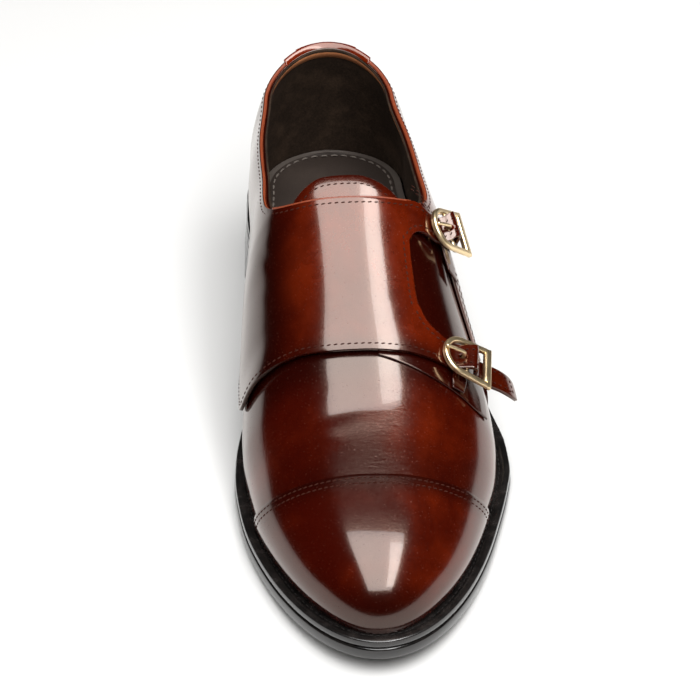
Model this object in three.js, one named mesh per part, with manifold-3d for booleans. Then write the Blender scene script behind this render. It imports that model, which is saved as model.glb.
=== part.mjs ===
import * as THREE from 'three';
import { mergeVertices } from 'three/addons/utils/BufferGeometryUtils.js';
import Module from 'manifold-3d';

// A double monk strap shoe for the left foot, in millimetres.
// +X is the outer side of the foot, -Y is the toe and +Z is up. The shoe stands on its sole.

// Driving sizes
const shoeLength = 304;
const soleWidth = 111;
const ballWidth = 104;
const instepHeight = 93;
const heelHeight = 23.5;
const heelLength = 76;
const toeSpring = 6.9;
const outsoleThickness = 5.5;
const weltThickness = 3.3;
const weltMargin = 6.7;
const gap = 0.3;
const tongueGap = 0.7;
const sheetGap = 0.5;

// Leather
const upperWall = 1.6;
const quarterLeather = 1.2;
const capLeather = 1.1;
const strapLeather = 1.7;
const flapLeather = 0.8;
const tabLeather = 0.9;
const tongueLeather = 1.8;
const backstayLeather = 0.8;
const insoleHeight = 2.4;

// Collar and overlays
const collarBack = 90.5;
const collarSide = 79;
const throatTop = 95;
const capSeam = 241;
const capCurve = 12;
const capSkew = 2;
const capPower = 2.2;
const backstayWidth = 13;
const backstayCap = 36;
const capStart = 0.19;
const capFlare = 0.05;
const capTop = 0.31;

// Heel
const topLift = 6;
const liftThickness = 4.2;
const liftGroove = 0.35;
const liftEdge = 0.07;
const heelFlare = 1.2;

// Buckles
const frameWidth = 20;
const frameLength = 23;
const frameSection = 2.4;
const frameBar = 3.3;
const frameThickness = 2.5;
const frameBevel = 0.5;
const frameRoundAt = -0.1;
const frameRound = 0.4;
const frameShoulder = 0.93;
const centreBar = 0.9;
const centreBarInset = 1.6;
const centreBarDrop = 0.2;
const barClearance = 1.62;
const prongRadius = 0.75;
const prongLean = 0.35;
const prongRise = 1.2;
const prongShoulder = 1.6;
const prongArch = 0.45;
const prongMiddle = 0.3;
const prongTip = 0.4;
const prongDip = 0.2;
const prongHoleDepth = 10;
const tabHalf = 3.4;
const tabRear = 0.3;
const tabFront = 0.68;

// Mesh fineness
const stations = 32;
const soleStations = 30;
const crowding = 0.22;
const aroundSteps = 24;
const aroundStep = 1 / aroundSteps;
const strapStep = 0.0125;
const heelCrowding = 1.85;

const wasm = await Module();
wasm.setup();

// Forms of the last, one row for a section across the foot. `at` is a share of the shoe length,
// `inner` and `outer` are half widths as shares of the ball width, `ridge` is the height of the top
// as a share of the instep height, `lean` shifts the top as a share of the ball width, `full` is
// the squareness of the section and `tuck` draws its foot in.
const lastSections = [
  { at: 0.000, inner: 0.320, outer: 0.335, ridge: 1.140, lean: -0.008, full: 2.10, tuck: 0.05 },
  { at: 0.112, inner: 0.325, outer: 0.335, ridge: 1.140, lean: -0.018, full: 2.10, tuck: 0.05 },
  { at: 0.197, inner: 0.345, outer: 0.365, ridge: 1.130, lean: -0.020, full: 2.20, tuck: 0.06 },
  { at: 0.280, inner: 0.352, outer: 0.395, ridge: 1.107, lean: -0.019, full: 2.30, tuck: 0.11 },
  { at: 0.362, inner: 0.378, outer: 0.432, ridge: 1.054, lean: -0.016, full: 2.50, tuck: 0.16 },
  { at: 0.414, inner: 0.402, outer: 0.458, ridge: 1.000, lean: -0.010, full: 2.40, tuck: 0.16 },
  { at: 0.461, inner: 0.424, outer: 0.482, ridge: 0.909, lean: -0.004, full: 2.25, tuck: 0.14 },
  { at: 0.526, inner: 0.445, outer: 0.512, ridge: 0.801, lean: 0.000, full: 2.15, tuck: 0.09 },
  { at: 0.615, inner: 0.462, outer: 0.537, ridge: 0.661, lean: 0.000, full: 2.10, tuck: 0.04 },
  { at: 0.691, inner: 0.466, outer: 0.539, ridge: 0.570, lean: 0.000, full: 2.05, tuck: 0.04 },
  { at: 0.789, inner: 0.482, outer: 0.524, ridge: 0.495, lean: 0.000, full: 2.10, tuck: 0.07 },
  { at: 0.888, inner: 0.483, outer: 0.522, ridge: 0.430, lean: 0.000, full: 2.20, tuck: 0.10 },
  { at: 0.954, inner: 0.485, outer: 0.520, ridge: 0.376, lean: 0.000, full: 2.20, tuck: 0.12 },
  { at: 1.000, inner: 0.485, outer: 0.520, ridge: 0.350, lean: 0.000, full: 2.20, tuck: 0.12 },
];

// Outline of the sole, with half widths as shares of the sole width.
const soleSections = [
  { at: 0.000, inner: 0.328, outer: 0.320 },
  { at: 0.112, inner: 0.330, outer: 0.322 },
  { at: 0.170, inner: 0.338, outer: 0.330 },
  { at: 0.250, inner: 0.322, outer: 0.332 },
  { at: 0.335, inner: 0.300, outer: 0.365 },
  { at: 0.440, inner: 0.345, outer: 0.438 },
  { at: 0.530, inner: 0.410, outer: 0.512 },
  { at: 0.600, inner: 0.446, outer: 0.546 },
  { at: 0.641, inner: 0.455, outer: 0.548 },
  { at: 0.691, inner: 0.464, outer: 0.537 },
  { at: 0.773, inner: 0.478, outer: 0.522 },
  { at: 1.000, inner: 0.486, outer: 0.513 },
];

// Where the ends of an outline begin to round, as shares of the shoe length.
const ballAt = 0.641;
const heelRoundAt = 0.112;
const soleToePower = 1.5;
const lastToePower = 1.55;

// Edges of the strap panel, one row for a line along the shoe. `around` runs from the outer edge
// of the sole (0) over the instep (0.5) to the inner edge (1). The other columns are places along
// the shoe, as shares of its length: the rear edge, the throat, both sides of the gap between the
// straps, and the front edge.
const panelEdges = [
  { around: 1.000, rear: 0.0102, throat: 0.190, slitRear: 0.225, slitFront: 0.290, front: 0.325 },
  { around: 0.985, rear: 0.0102, throat: 0.225, slitRear: 0.270, slitFront: 0.345, front: 0.390 },
  { around: 0.962, rear: 0.0102, throat: 0.265, slitRear: 0.320, slitFront: 0.410, front: 0.460 },
  { around: 0.930, rear: 0.0102, throat: 0.315, slitRear: 0.370, slitFront: 0.475, front: 0.528 },
  { around: 0.912, rear: 0.0102, throat: 0.345, slitRear: 0.400, slitFront: 0.515, front: 0.565 },
  { around: 0.900, rear: 0.0102, throat: 0.360, slitRear: 0.415, slitFront: 0.530, front: 0.580 },
  { around: 0.870, rear: 0.0102, throat: 0.375, slitRear: 0.430, slitFront: 0.540, front: 0.587 },
  { around: 0.800, rear: 0.0102, throat: 0.385, slitRear: 0.440, slitFront: 0.545, front: 0.590 },
  { around: 0.720, rear: 0.0102, throat: 0.388, slitRear: 0.445, slitFront: 0.548, front: 0.596 },
  { around: 0.640, rear: 0.0102, throat: 0.3880, slitRear: 0.4480, slitFront: 0.5480, front: 0.6020 },
  { around: 0.560, rear: 0.0102, throat: 0.3880, slitRear: 0.4500, slitFront: 0.5470, front: 0.6090 },
  { around: 0.500, rear: 0.0102, throat: 0.3880, slitRear: 0.4520, slitFront: 0.5450, front: 0.6110 },
  { around: 0.440, rear: 0.0102, throat: 0.3880, slitRear: 0.4550, slitFront: 0.5420, front: 0.6110 },
  { around: 0.395, rear: 0.3700, throat: 0.3900, slitRear: 0.4550, slitFront: 0.5370, front: 0.6100 },
  { around: 0.358, rear: 0.3700, throat: 0.4000, slitRear: 0.4540, slitFront: 0.5380, front: 0.6110 },
  { around: 0.345, rear: 0.3700, throat: 0.4000, slitRear: 0.4450, slitFront: 0.5560, front: 0.6110 },
  { around: 0.328, rear: 0.3700, throat: 0.4005, slitRear: 0.4400, slitFront: 0.5670, front: 0.6115 },
  { around: 0.300, rear: 0.3650, throat: 0.4015, slitRear: 0.4380, slitFront: 0.5735, front: 0.6120 },
  { around: 0.260, rear: 0.3600, throat: 0.4045, slitRear: 0.4360, slitFront: 0.5760, front: 0.6120 },
  { around: 0.220, rear: 0.3500, throat: 0.3945, slitRear: 0.4255, slitFront: 0.5735, front: 0.6095 },
  { around: 0.180, rear: 0.3400, throat: 0.3825, slitRear: 0.4135, slitFront: 0.5713, front: 0.6073 },
  { around: 0.145, rear: 0.3300, throat: 0.3730, slitRear: 0.4040, slitFront: 0.5693, front: 0.6053 },
  { around: 0.130, rear: 0.3265, throat: 0.3690, slitRear: 0.4000, slitFront: 0.5690, front: 0.6030 },
  { around: 0.115, rear: 0.3225, throat: 0.3640, slitRear: 0.3950, slitFront: 0.5715, front: 0.5990 },
];
const slitRoot = 0.358;
const quarterRoot = 0.44;

const upperStandOff = 8;
const lowerStandOff = 9;

// The two straps: where each buckle sits, where its strap ends, how far the end stands off, and
// how many degrees the buckle tips off the leather.
const straps = [
  {
    name: 'upper', rear: 'throat', front: 'slitRear',
    around: 0.223, end: 0.165, standOff: upperStandOff, tilt: 11,
  },
  {
    name: 'lower', rear: 'slitFront', front: 'front',
    around: 0.255, end: 0.115, standOff: lowerStandOff, tilt: 9,
  },
];
const humpReach = 7.3;
const freeAt = 3;
const freeReach = 18;
const frameLift = 6;
const strapRest = 1.8;
const humpSharpness = 3.7;
const panelRise = 1.4;
const panelRiseAt = 0.53;
const panelRiseReach = 0.07;
const panelSide = 0.9;
const panelSideReach = 0.12;
const strapBlend = 0.05;
const thickenAt = 0.36;
const thickenReach = 0.04;

// The collar in side view. `back` and `front` are the rise from the collar's side toward the back
// of the heel and toward the top of the throat.
const collarLine = [
  { at: 0.000, back: 1.03, front: 0.00 },
  { at: 0.020, back: 0.95, front: 0.00 },
  { at: 0.060, back: 0.62, front: 0.00 },
  { at: 0.110, back: 0.30, front: 0.00 },
  { at: 0.170, back: 0.07, front: 0.00 },
  { at: 0.250, back: -0.03, front: 0.00 },
  { at: 0.320, back: 0.00, front: 0.00 },
  { at: 0.355, back: 0.00, front: 0.05 },
  { at: 0.376, back: 0.00, front: 0.17 },
  { at: 0.392, back: 0.00, front: 0.37 },
  { at: 0.403, back: 0.00, front: 0.58 },
  { at: 0.411, back: 0.00, front: 0.80 },
  { at: 0.416, back: 0.00, front: 1.00 },
  { at: 0.420, back: 0.00, front: 1.50 },
];
const collarRoof = 40;

// The flap of the outer quarter that shows below the lower strap.
const flapEdges = [
  { around: 0.460, rear: 0.592, front: 0.614 },
  { around: 0.400, rear: 0.590, front: 0.623 },
  { around: 0.340, rear: 0.588, front: 0.632 },
  { around: 0.270, rear: 0.575, front: 0.640 },
  { around: 0.200, rear: 0.565, front: 0.645 },
  { around: 0.150, rear: 0.560, front: 0.640 },
];

// Front seam of the outer quarter, from the sole up to the collar.
const outerQuarterEdges = [
  { around: 0.000, front: 0.560 },
  { around: 0.060, front: 0.555 },
  { around: 0.110, front: 0.535 },
  { around: 0.150, front: 0.490 },
  { around: 0.190, front: 0.440 },
  { around: 0.240, front: 0.405 },
  { around: 0.300, front: 0.385 },
  { around: 0.420, front: 0.375 },
];

// The tongue under the throat.
const tongueEdges = [
  { around: 0.260, rear: 0.423, front: 0.520 },
  { around: 0.330, rear: 0.398, front: 0.530 },
  { around: 0.400, rear: 0.375, front: 0.535 },
  { around: 0.470, rear: 0.365, front: 0.540 },
  { around: 0.540, rear: 0.366, front: 0.540 },
  { around: 0.610, rear: 0.377, front: 0.535 },
  { around: 0.680, rear: 0.399, front: 0.530 },
  { around: 0.740, rear: 0.422, front: 0.520 },
];

// A value of a table's column, by a smooth curve through its rows.
function read(rows, key, column, value) {
  const last = rows.length - 1;
  const rising = rows[last][key] > rows[0][key];
  const ordered = rising ? rows : [...rows].reverse();
  const place = THREE.MathUtils.clamp(value, ordered[0][key], ordered[last][key]);
  let i = 0;
  while (i < last - 1 && ordered[i + 1][key] < place) {
    i += 1;
  }
  const slope = (k) => {
    const width = ordered[k + 1][key] - ordered[k][key];
    return (ordered[k + 1][column] - ordered[k][column]) / width;
  };
  const tangent = (k) => {
    if (k === 0 || k === last) {
      return slope(Math.max(0, k - 1));
    }
    const before = slope(k - 1);
    const after = slope(k);
    return before * after <= 0 ? 0 : (2 * before * after) / (before + after);
  };
  const span = ordered[i + 1][key] - ordered[i][key];
  const t = (place - ordered[i][key]) / span;
  const a = ordered[i][column];
  const b = ordered[i + 1][column];
  const start = (1 + 2 * t) * (1 - t) ** 2 * a + t * (1 - t) ** 2 * span * tangent(i);
  return start + t * t * (3 - 2 * t) * b + t * t * (t - 1) * span * tangent(i + 1);
}

const smooth = (t) => THREE.MathUtils.smoothstep(t, 0, 1);
const mix = (a, b, t) => a + (b - a) * t;

// Heights along the shoe. `along` is the distance from the back of the heel.
const shankStart = 0.2 * shoeLength;
const treadStart = 0.566 * shoeLength;
const springStart = 0.70 * shoeLength;

function soleBottom(along) {
  if (along < treadStart) {
    return heelHeight * (1 - smooth((along - shankStart) / (treadStart - shankStart)));
  }
  const reach = Math.max(0, (along - springStart) / (shoeLength - springStart));
  return toeSpring * reach ** 1.8;
}

const soleTop = (along) => soleBottom(along) + outsoleThickness;
const weltTop = (along) => soleTop(along) + gap + weltThickness;
const featherHeight = (along) => weltTop(along) + gap;

// The upper reaches from the heel back to the toe, inside the edge of the sole.
const upperStart = 3;
const upperEnd = shoeLength - weltMargin;
const heelBulge = 50;
const seatTuck = 2.5;
const collarLean = 4.2;
const heelReach = 70;
const seamBack = 0.0102;
const toeBoxReach = 17;
const tuckReach = 0.42;

// Rounds the width of an outline off toward its two ends.
function endRound(along, start, end, toePower) {
  const heelRound = heelRoundAt * shoeLength;
  const ball = ballAt * shoeLength;
  const back = Math.max(0, (heelRound - along) / (heelRound - start));
  const front = Math.max(0, (along - ball) / (end - ball));
  const backShare = Math.sqrt(Math.max(0, 1 - back ** 2));
  return backShare * Math.sqrt(Math.max(0, 1 - front ** toePower));
}

function heelCurve(height) {
  const rise = height - heelBulge;
  if (rise > 0) {
    return collarLean * (rise / (collarBack - heelBulge)) ** 2;
  }
  return seatTuck * (rise / (heelBulge - heelHeight)) ** 2;
}

// A point of the upper's own form, `lift` outside it. `place` is its distance along the shoe on
// the form itself, which reaches further at both ends when it is lifted.
function lastPoint(place, around, lift) {
  const start = upperStart - lift;
  const end = upperEnd + lift;
  const along = mix(start, end, (place - upperStart) / (upperEnd - upperStart));
  const at = along / shoeLength;
  const angle = around * Math.PI;
  const side = Math.cos(angle);
  const column = side > 0 ? 'outer' : 'inner';
  const full = read(lastSections, 'at', 'full', at);
  const half = read(lastSections, 'at', column, at) * ballWidth + lift;
  const width = half * endRound(along, start, end, lastToePower);
  const box = Math.max(0, (along - end + toeBoxReach) / toeBoxReach);
  const foot = featherHeight(along);
  const ridge = read(lastSections, 'at', 'ridge', at) * instepHeight + lift;
  const height = (ridge - foot) * Math.sqrt(Math.max(0, 1 - Math.min(1, box) ** 2));
  const up = Math.sin(angle) ** (2 / full);
  const out = Math.abs(side) ** (2 / full);
  const tuckShare = Math.max(0, 1 - up / tuckReach) ** 2;
  const tuck = 1 - read(lastSections, 'at', 'tuck', at) * tuckShare;
  const lean = read(lastSections, 'at', 'lean', at) * ballWidth * up;
  const x = Math.sign(side) * width * out * tuck + lean * endRound(along, start, end, 2);
  const z = foot + height * up;
  const curve = heelCurve(z) * Math.max(0, 1 - (along - start) / heelReach) ** 2;
  return new THREE.Vector3(x, shoeLength / 2 - along - curve, z);
}

// Stations that crowd toward both ends, as shares from 0 to 1.
function crowded(count) {
  const pace = 1 / (1 - crowding);
  const fromEnd = (t) => (t < crowding ? (pace * t * t) / (2 * crowding) : pace * (t - crowding / 2));
  return Array.from({ length: count + 1 }, (_, i) => {
    const t = i / count;
    return t < 0.5 ? fromEnd(t) : 1 - fromEnd(1 - t);
  });
}

// A share that grows slowly at first, for a sheet that starts at the round of the heel.
const fromHeel = (share) => share ** heelCrowding;

function solid(geometry) {
  const bare = geometry.clone();
  bare.deleteAttribute('normal');
  bare.deleteAttribute('uv');
  const merged = mergeVertices(bare, 1e-4);
  const source = merged.index.array;
  const kept = [];
  for (let i = 0; i < source.length; i += 3) {
    const [a, b, c] = [source[i], source[i + 1], source[i + 2]];
    if (a !== b && b !== c && a !== c) {
      kept.push(a, b, c);
    }
  }
  const mesh = new wasm.Mesh({
    numProp: 3,
    vertProperties: new Float32Array(merged.attributes.position.array),
    triVerts: new Uint32Array(kept),
  });
  mesh.merge();
  return new wasm.Manifold(mesh);
}

function shape(manifold) {
  const mesh = manifold.getMesh();
  const geometry = new THREE.BufferGeometry();
  geometry.setAttribute('position', new THREE.BufferAttribute(mesh.vertProperties, 3));
  geometry.setIndex(new THREE.BufferAttribute(mesh.triVerts, 1));
  return geometry;
}

function signedVolume(points, faces) {
  let volume = 0;
  const cross = new THREE.Vector3();
  for (const [a, b, c] of faces) {
    volume += points[a].dot(cross.crossVectors(points[b], points[c])) / 6;
  }
  return volume;
}

// A closed geometry from points and triangles, with its faces turned outward.
function closedGeometry(points, faces) {
  const outward = signedVolume(points, faces) > 0;
  const geometry = new THREE.BufferGeometry();
  geometry.setFromPoints(points);
  geometry.setIndex(faces.flatMap(([a, b, c]) => (outward ? [a, b, c] : [a, c, b])));
  return geometry;
}

// The quads between loops of equal length. A ring of loops closes on itself, and otherwise the
// first and last loops are closed across.
function loftLoops(loops, ring) {
  const size = loops[0].length;
  const points = loops.flat();
  const faces = [];
  const quad = (a, b, c, d) => faces.push([a, b, c], [a, c, d]);
  const rows = ring ? loops.length : loops.length - 1;
  for (let k = 0; k < rows; k += 1) {
    const next = (k + 1) % loops.length;
    for (let j = 0; j < size; j += 1) {
      const right = (j + 1) % size;
      quad(k * size + j, k * size + right, next * size + right, next * size + j);
    }
  }
  if (!ring) {
    const top = (loops.length - 1) * size;
    for (let j = 0; j < size / 2 - 1; j += 1) {
      const far = size - 1 - j;
      quad(j, far, far - 1, j + 1);
      quad(top + j, top + j + 1, top + far - 1, top + far);
    }
  }
  return closedGeometry(points, faces);
}

// The whole form of the upper as one closed block, `lift` outside it and `drop` below its foot.
function lastBlock(lift, drop) {
  const loops = crowded(stations).map((share) => {
    const along = mix(upperStart, upperEnd, share);
    const section = [];
    for (let j = 0; j <= aroundSteps; j += 1) {
      section.push(lastPoint(along, j / aroundSteps, lift));
    }
    if (drop > 0) {
      const below = new THREE.Vector3(0, 0, -drop);
      section.unshift(section[0].clone().add(below));
      section.push(section[section.length - 1].clone().add(below));
    }
    return section;
  });
  const size = loops[0].length;
  const faces = [];
  for (let i = 0; i < loops.length - 1; i += 1) {
    for (let j = 0; j < size; j += 1) {
      const right = (j + 1) % size;
      const [a, b] = [i * size + j, i * size + right];
      faces.push([a, b, b + size], [a, b + size, a + size]);
    }
  }
  return solid(closedGeometry(loops.flat(), faces));
}

// A closed sheet of leather. `rows` is a grid of places {along, around, lift}, `keep` says which
// cells of the grid exist, and the sheet is `thickness` thick.
function leatherSheet(rows, thickness, keep = () => true) {
  const width = rows[0].length;
  const low = rows.flat().map((p) => lastPoint(p.along, p.around, p.lift));
  const high = rows.flat().map((p) => lastPoint(p.along, p.around, p.lift + thickness(p)));
  const offset = low.length;
  const faces = [];
  const edges = new Map();
  const addEdge = (a, b) => {
    const twin = `${b}:${a}`;
    if (edges.has(twin)) {
      edges.delete(twin);
    } else {
      edges.set(`${a}:${b}`, [a, b]);
    }
  };
  for (let i = 0; i < rows.length - 1; i += 1) {
    for (let j = 0; j < width - 1; j += 1) {
      if (keep(i, j)) {
        const [a, b, c, d] = [i * width + j, i * width + j + 1, (i + 1) * width + j + 1, (i + 1) * width + j];
        faces.push([a, b, c], [a, c, d]);
        faces.push([a + offset, c + offset, b + offset], [a + offset, d + offset, c + offset]);
        [[a, b], [b, c], [c, d], [d, a]].forEach(([p, q]) => addEdge(p, q));
      }
    }
  }
  for (const [a, b] of edges.values()) {
    faces.push([b, a, a + offset], [b, a + offset, b + offset]);
  }
  return solid(closedGeometry([...low, ...high], faces));
}

// The rows of an edge table and lines between them, no further apart than `stepAt` allows.
function fineRows(table, stepAt) {
  const places = [];
  for (let i = 0; i < table.length - 1; i += 1) {
    const span = Math.abs(table[i + 1].around - table[i].around);
    const steps = Math.ceil(span / stepAt(table[i + 1].around) - 0.01);
    for (let k = 0; k < steps; k += 1) {
      places.push(mix(table[i].around, table[i + 1].around, k / steps));
    }
  }
  places.push(table[table.length - 1].around);
  return places;
}

// A prism across the shoe from an outline in its side view: `along` and height.
function sidePrism(outline, depth) {
  const geometry = new THREE.ExtrudeGeometry(outline, { depth, bevelEnabled: false, curveSegments: 6 });
  geometry.translate(-shoeLength / 2, 0, -depth / 2);
  const basis = new THREE.Matrix4().makeBasis(
    new THREE.Vector3(0, -1, 0),
    new THREE.Vector3(0, 0, 1),
    new THREE.Vector3(-1, 0, 0),
  );
  geometry.applyMatrix4(basis);
  return solid(geometry);
}

// All that lies above the collar and behind the throat.
function collarSpace() {
  const roof = instepHeight + collarRoof;
  const line = collarLine.map(({ at, back, front }) => {
    const height = collarSide + back * (collarBack - collarSide) + front * (throatTop - collarSide);
    return new THREE.Vector2(at * shoeLength, height);
  });
  const outline = new THREE.Shape();
  outline.moveTo(-collarRoof, roof);
  outline.lineTo(-collarRoof, line[0].y);
  outline.lineTo(line[0].x, line[0].y);
  outline.splineThru(line.slice(1));
  outline.lineTo(line[line.length - 1].x + gap, roof);
  outline.closePath();
  return sidePrism(outline, 2 * ballWidth);
}

const collar = collarSpace();

function upper() {
  const walls = lastBlock(0, 0).subtract(lastBlock(-upperWall, 3));
  return shape(walls.subtract(collar));
}

function toeCap() {
  const steps = 8;
  const rows = [];
  for (let j = 0; j <= aroundSteps; j += 1) {
    const around = j / aroundSteps;
    const side = 1 - 2 * around;
    const seam = capSeam - capCurve * Math.abs(side) ** capPower + capSkew * side;
    const row = [];
    for (let k = 0; k <= steps; k += 1) {
      const share = Math.sin((k / steps) * (Math.PI / 2));
      row.push({ along: mix(seam, upperEnd, share), around, lift: sheetGap });
    }
    rows.push(row);
  }
  return shape(leatherSheet(rows, () => capLeather));
}

// The middle of a strap where it crosses a line along the shoe.
function strapMiddle(strap, around) {
  const rear = read(panelEdges, 'around', strap.rear, around);
  const front = read(panelEdges, 'around', strap.front, around);
  return ((rear + front) / 2) * shoeLength;
}

// The place of a buckle: X runs along its strap to the free end and Z points away from the leather.
function buckleSeat(strap) {
  const step = 0.03;
  const at = (around) => lastPoint(strapMiddle(strap, around), around, 0);
  const x = at(strap.around - step).sub(at(strap.around + step)).normalize();
  const middle = strapMiddle(strap, strap.around);
  const across = lastPoint(middle + 1, strap.around, 0).sub(lastPoint(middle - 1, strap.around, 0));
  const z = new THREE.Vector3().crossVectors(x, across).normalize();
  if (z.x < 0) {
    z.negate();
  }
  const y = new THREE.Vector3().crossVectors(z, x).normalize();
  const seat = new THREE.Matrix4().makeRotationAxis(y, THREE.MathUtils.degToRad(-strap.tilt));
  seat.multiply(new THREE.Matrix4().makeBasis(x, y, z));
  seat.setPosition(lastPoint(middle, strap.around, frameLift));
  return seat;
}

const seats = new Map(straps.map((strap) => [strap.name, buckleSeat(strap)]));
const intoSeat = new Map(straps.map((strap) => [strap.name, seats.get(strap.name).clone().invert()]));

// The hump of a strap over the bar of its buckle, and the rise of its free end.
function strapLift(strap, along, around) {
  const reach = lastPoint(along, around, 0).applyMatrix4(intoSeat.get(strap.name)).x;
  const top = frameLift - centreBarDrop + centreBar + barClearance - strapRest;
  const hump = top * Math.exp(-humpSharpness * (reach / humpReach) ** 2);
  const free = smooth((reach - freeAt) / freeReach);
  return strapRest + hump + strap.standOff * free;
}

function panelLift(along, around) {
  const at = along / shoeLength;
  const onTop = smooth((panelSide - around) / panelSideReach);
  const rise = panelRise * smooth((at - panelRiseAt) / panelRiseReach) * onTop;
  if (around > slitRoot) {
    return sheetGap + rise;
  }
  const strap = at > 0.5 ? straps[1] : straps[0];
  const onStrap = smooth((slitRoot - around) / strapBlend);
  return mix(sheetGap + rise, Math.max(sheetGap + rise, strapLift(strap, along, around)), onStrap);
}

// The strap panel: one sheet with the inner quarter, over the instep and out into two straps.
function strapPanel() {
  const bands = [
    { from: 'rear', to: 'throat', steps: 12 },
    { from: 'throat', to: 'slitRear', steps: 3 },
    { from: 'slitRear', to: 'slitFront', steps: 4 },
    { from: 'slitFront', to: 'front', steps: 3 },
  ];
  const rows = fineRows(panelEdges, (around) => (around < 0.29 ? strapStep : aroundStep)).map((around) => {
    const row = [];
    const edge = (column) => read(panelEdges, 'around', column, around) * shoeLength;
    bands.forEach((band, i) => {
      for (let k = i === 0 ? 0 : 1; k <= band.steps; k += 1) {
        const share = i === 0 ? fromHeel(k / band.steps) : k / band.steps;
        const along = mix(edge(band.from), edge(band.to), share);
        row.push({ along, around, lift: panelLift(along, around) });
      }
    });
    return row;
  });
  const quarter = bands[0].steps;
  const rearStrap = quarter + bands[1].steps;
  const slit = rearStrap + bands[2].steps;
  const keep = (i, j) => {
    const around = (rows[i][0].around + rows[i + 1][0].around) / 2;
    if (j < quarter) {
      return around > quarterRoot;
    }
    if (j >= rearStrap && j < slit) {
      return around > slitRoot;
    }
    return j >= slit || around > straps[0].end;
  };
  const thickness = (p) => {
    return mix(quarterLeather, strapLeather, smooth((p.along / shoeLength - thickenAt) / thickenReach));
  };
  const sheet = leatherSheet(rows, thickness, keep).subtract(collar);
  return shape(straps.reduce((rest, strap) => rest.subtract(prongHole(strap)), sheet));
}

// A sheet whose edges follow a table, over the upper or under it.
function edgedSheet(table, columns, steps, lift, thickness) {
  const rows = fineRows(table, () => aroundStep).map((around) => {
    const [rear, front] = columns(around);
    const row = [];
    for (let k = 0; k <= steps; k += 1) {
      const share = rear < heelReach ? fromHeel(k / steps) : k / steps;
      row.push({ along: mix(rear, front, share), around, lift });
    }
    return row;
  });
  return leatherSheet(rows, () => thickness);
}

function outerQuarter() {
  const edges = (around) => [
    seamBack * shoeLength,
    read(outerQuarterEdges, 'around', 'front', around) * shoeLength,
  ];
  const sheet = edgedSheet(outerQuarterEdges, edges, 14, sheetGap, quarterLeather);
  return shape(sheet.subtract(collar));
}

function underFlap() {
  const edges = (around) => [
    read(flapEdges, 'around', 'rear', around) * shoeLength,
    read(flapEdges, 'around', 'front', around) * shoeLength,
  ];
  return shape(edgedSheet(flapEdges, edges, 5, gap, flapLeather));
}

function tongue() {
  const edges = (around) => [
    read(tongueEdges, 'around', 'rear', around) * shoeLength,
    read(tongueEdges, 'around', 'front', around) * shoeLength,
  ];
  const lift = -upperWall - tongueGap - tongueLeather;
  return shape(edgedSheet(tongueEdges, edges, 5, lift, tongueLeather));
}

// How far from the heel's back the form is `half` wide to each side.
function alongAtWidth(half) {
  const round = heelRoundAt * shoeLength;
  const full = lastSections[0].outer * ballWidth;
  return round - (round - upperStart) * Math.sqrt(1 - (half / full) ** 2);
}

// The strip over the back seam, wider where it caps the collar.
function backstay() {
  const halfSteps = 4;
  const spans = [
    { from: 0, to: capStart, steps: 3 },
    { from: capStart, to: capStart + capFlare, steps: 5 },
    { from: capStart + capFlare, to: capTop, steps: 3 },
  ];
  const levels = spans.flatMap(({ from, to, steps }) => {
    return Array.from({ length: steps }, (_, i) => mix(from, to, i / steps));
  });
  const rows = [...levels, capTop].map((around) => {
    const half = mix(backstayWidth, backstayCap, smooth((around - capStart) / capFlare)) / 2;
    const row = [];
    for (let k = -halfSteps; k <= halfSteps; k += 1) {
      const along = alongAtWidth((Math.abs(k) / halfSteps) * half);
      row.push({ along, around: k < 0 ? 1 - around : around, lift: 3 * sheetGap + quarterLeather });
    }
    return row;
  });
  return shape(leatherSheet(rows, () => backstayLeather).subtract(collar));
}

// A loop round the sole, drawn in by `inset`, with its height from `heightAt`.
function soleLoop(inset, heightAt) {
  const side = (column, sign) => crowded(soleStations).map((share) => {
    const along = mix(inset, shoeLength - inset, share);
    const half = read(soleSections, 'at', column, along / shoeLength) * soleWidth - inset;
    const width = half * endRound(along, inset, shoeLength - inset, soleToePower);
    return new THREE.Vector3(sign * width, shoeLength / 2 - along, heightAt(along));
  });
  return [...side('outer', 1), ...side('inner', -1).reverse()];
}

// A loop round the foot of the upper's form, `lift` outside it.
function footLoop(lift, heightAt) {
  const side = (around) => crowded(soleStations).map((share) => {
    const point = lastPoint(mix(upperStart, upperEnd, share), around, lift);
    point.z = heightAt(shoeLength / 2 - point.y);
    return point;
  });
  return [...side(0), ...side(1).reverse()];
}

function outsole() {
  const roundOver = 1.1;
  return loftLoops([
    soleLoop(roundOver, (along) => soleBottom(along)),
    soleLoop(0, (along) => soleBottom(along) + roundOver),
    soleLoop(0, (along) => soleTop(along)),
  ]);
}

function welt() {
  const edgeInset = 0.3;
  const chamfer = 0.6;
  const foot = upperWall + 0.2;
  return loftLoops([
    soleLoop(edgeInset, (along) => soleTop(along) + gap),
    soleLoop(edgeInset, (along) => weltTop(along) - chamfer),
    soleLoop(edgeInset + chamfer, (along) => weltTop(along)),
    footLoop(-foot, (along) => weltTop(along)),
    footLoop(-foot, (along) => soleTop(along) + gap),
  ], true);
}

function insole() {
  const clearance = upperWall + gap + sheetGap;
  return loftLoops([
    footLoop(-clearance, (along) => soleTop(along) + gap),
    footLoop(-clearance, (along) => featherHeight(along) + insoleHeight),
  ]);
}

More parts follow.
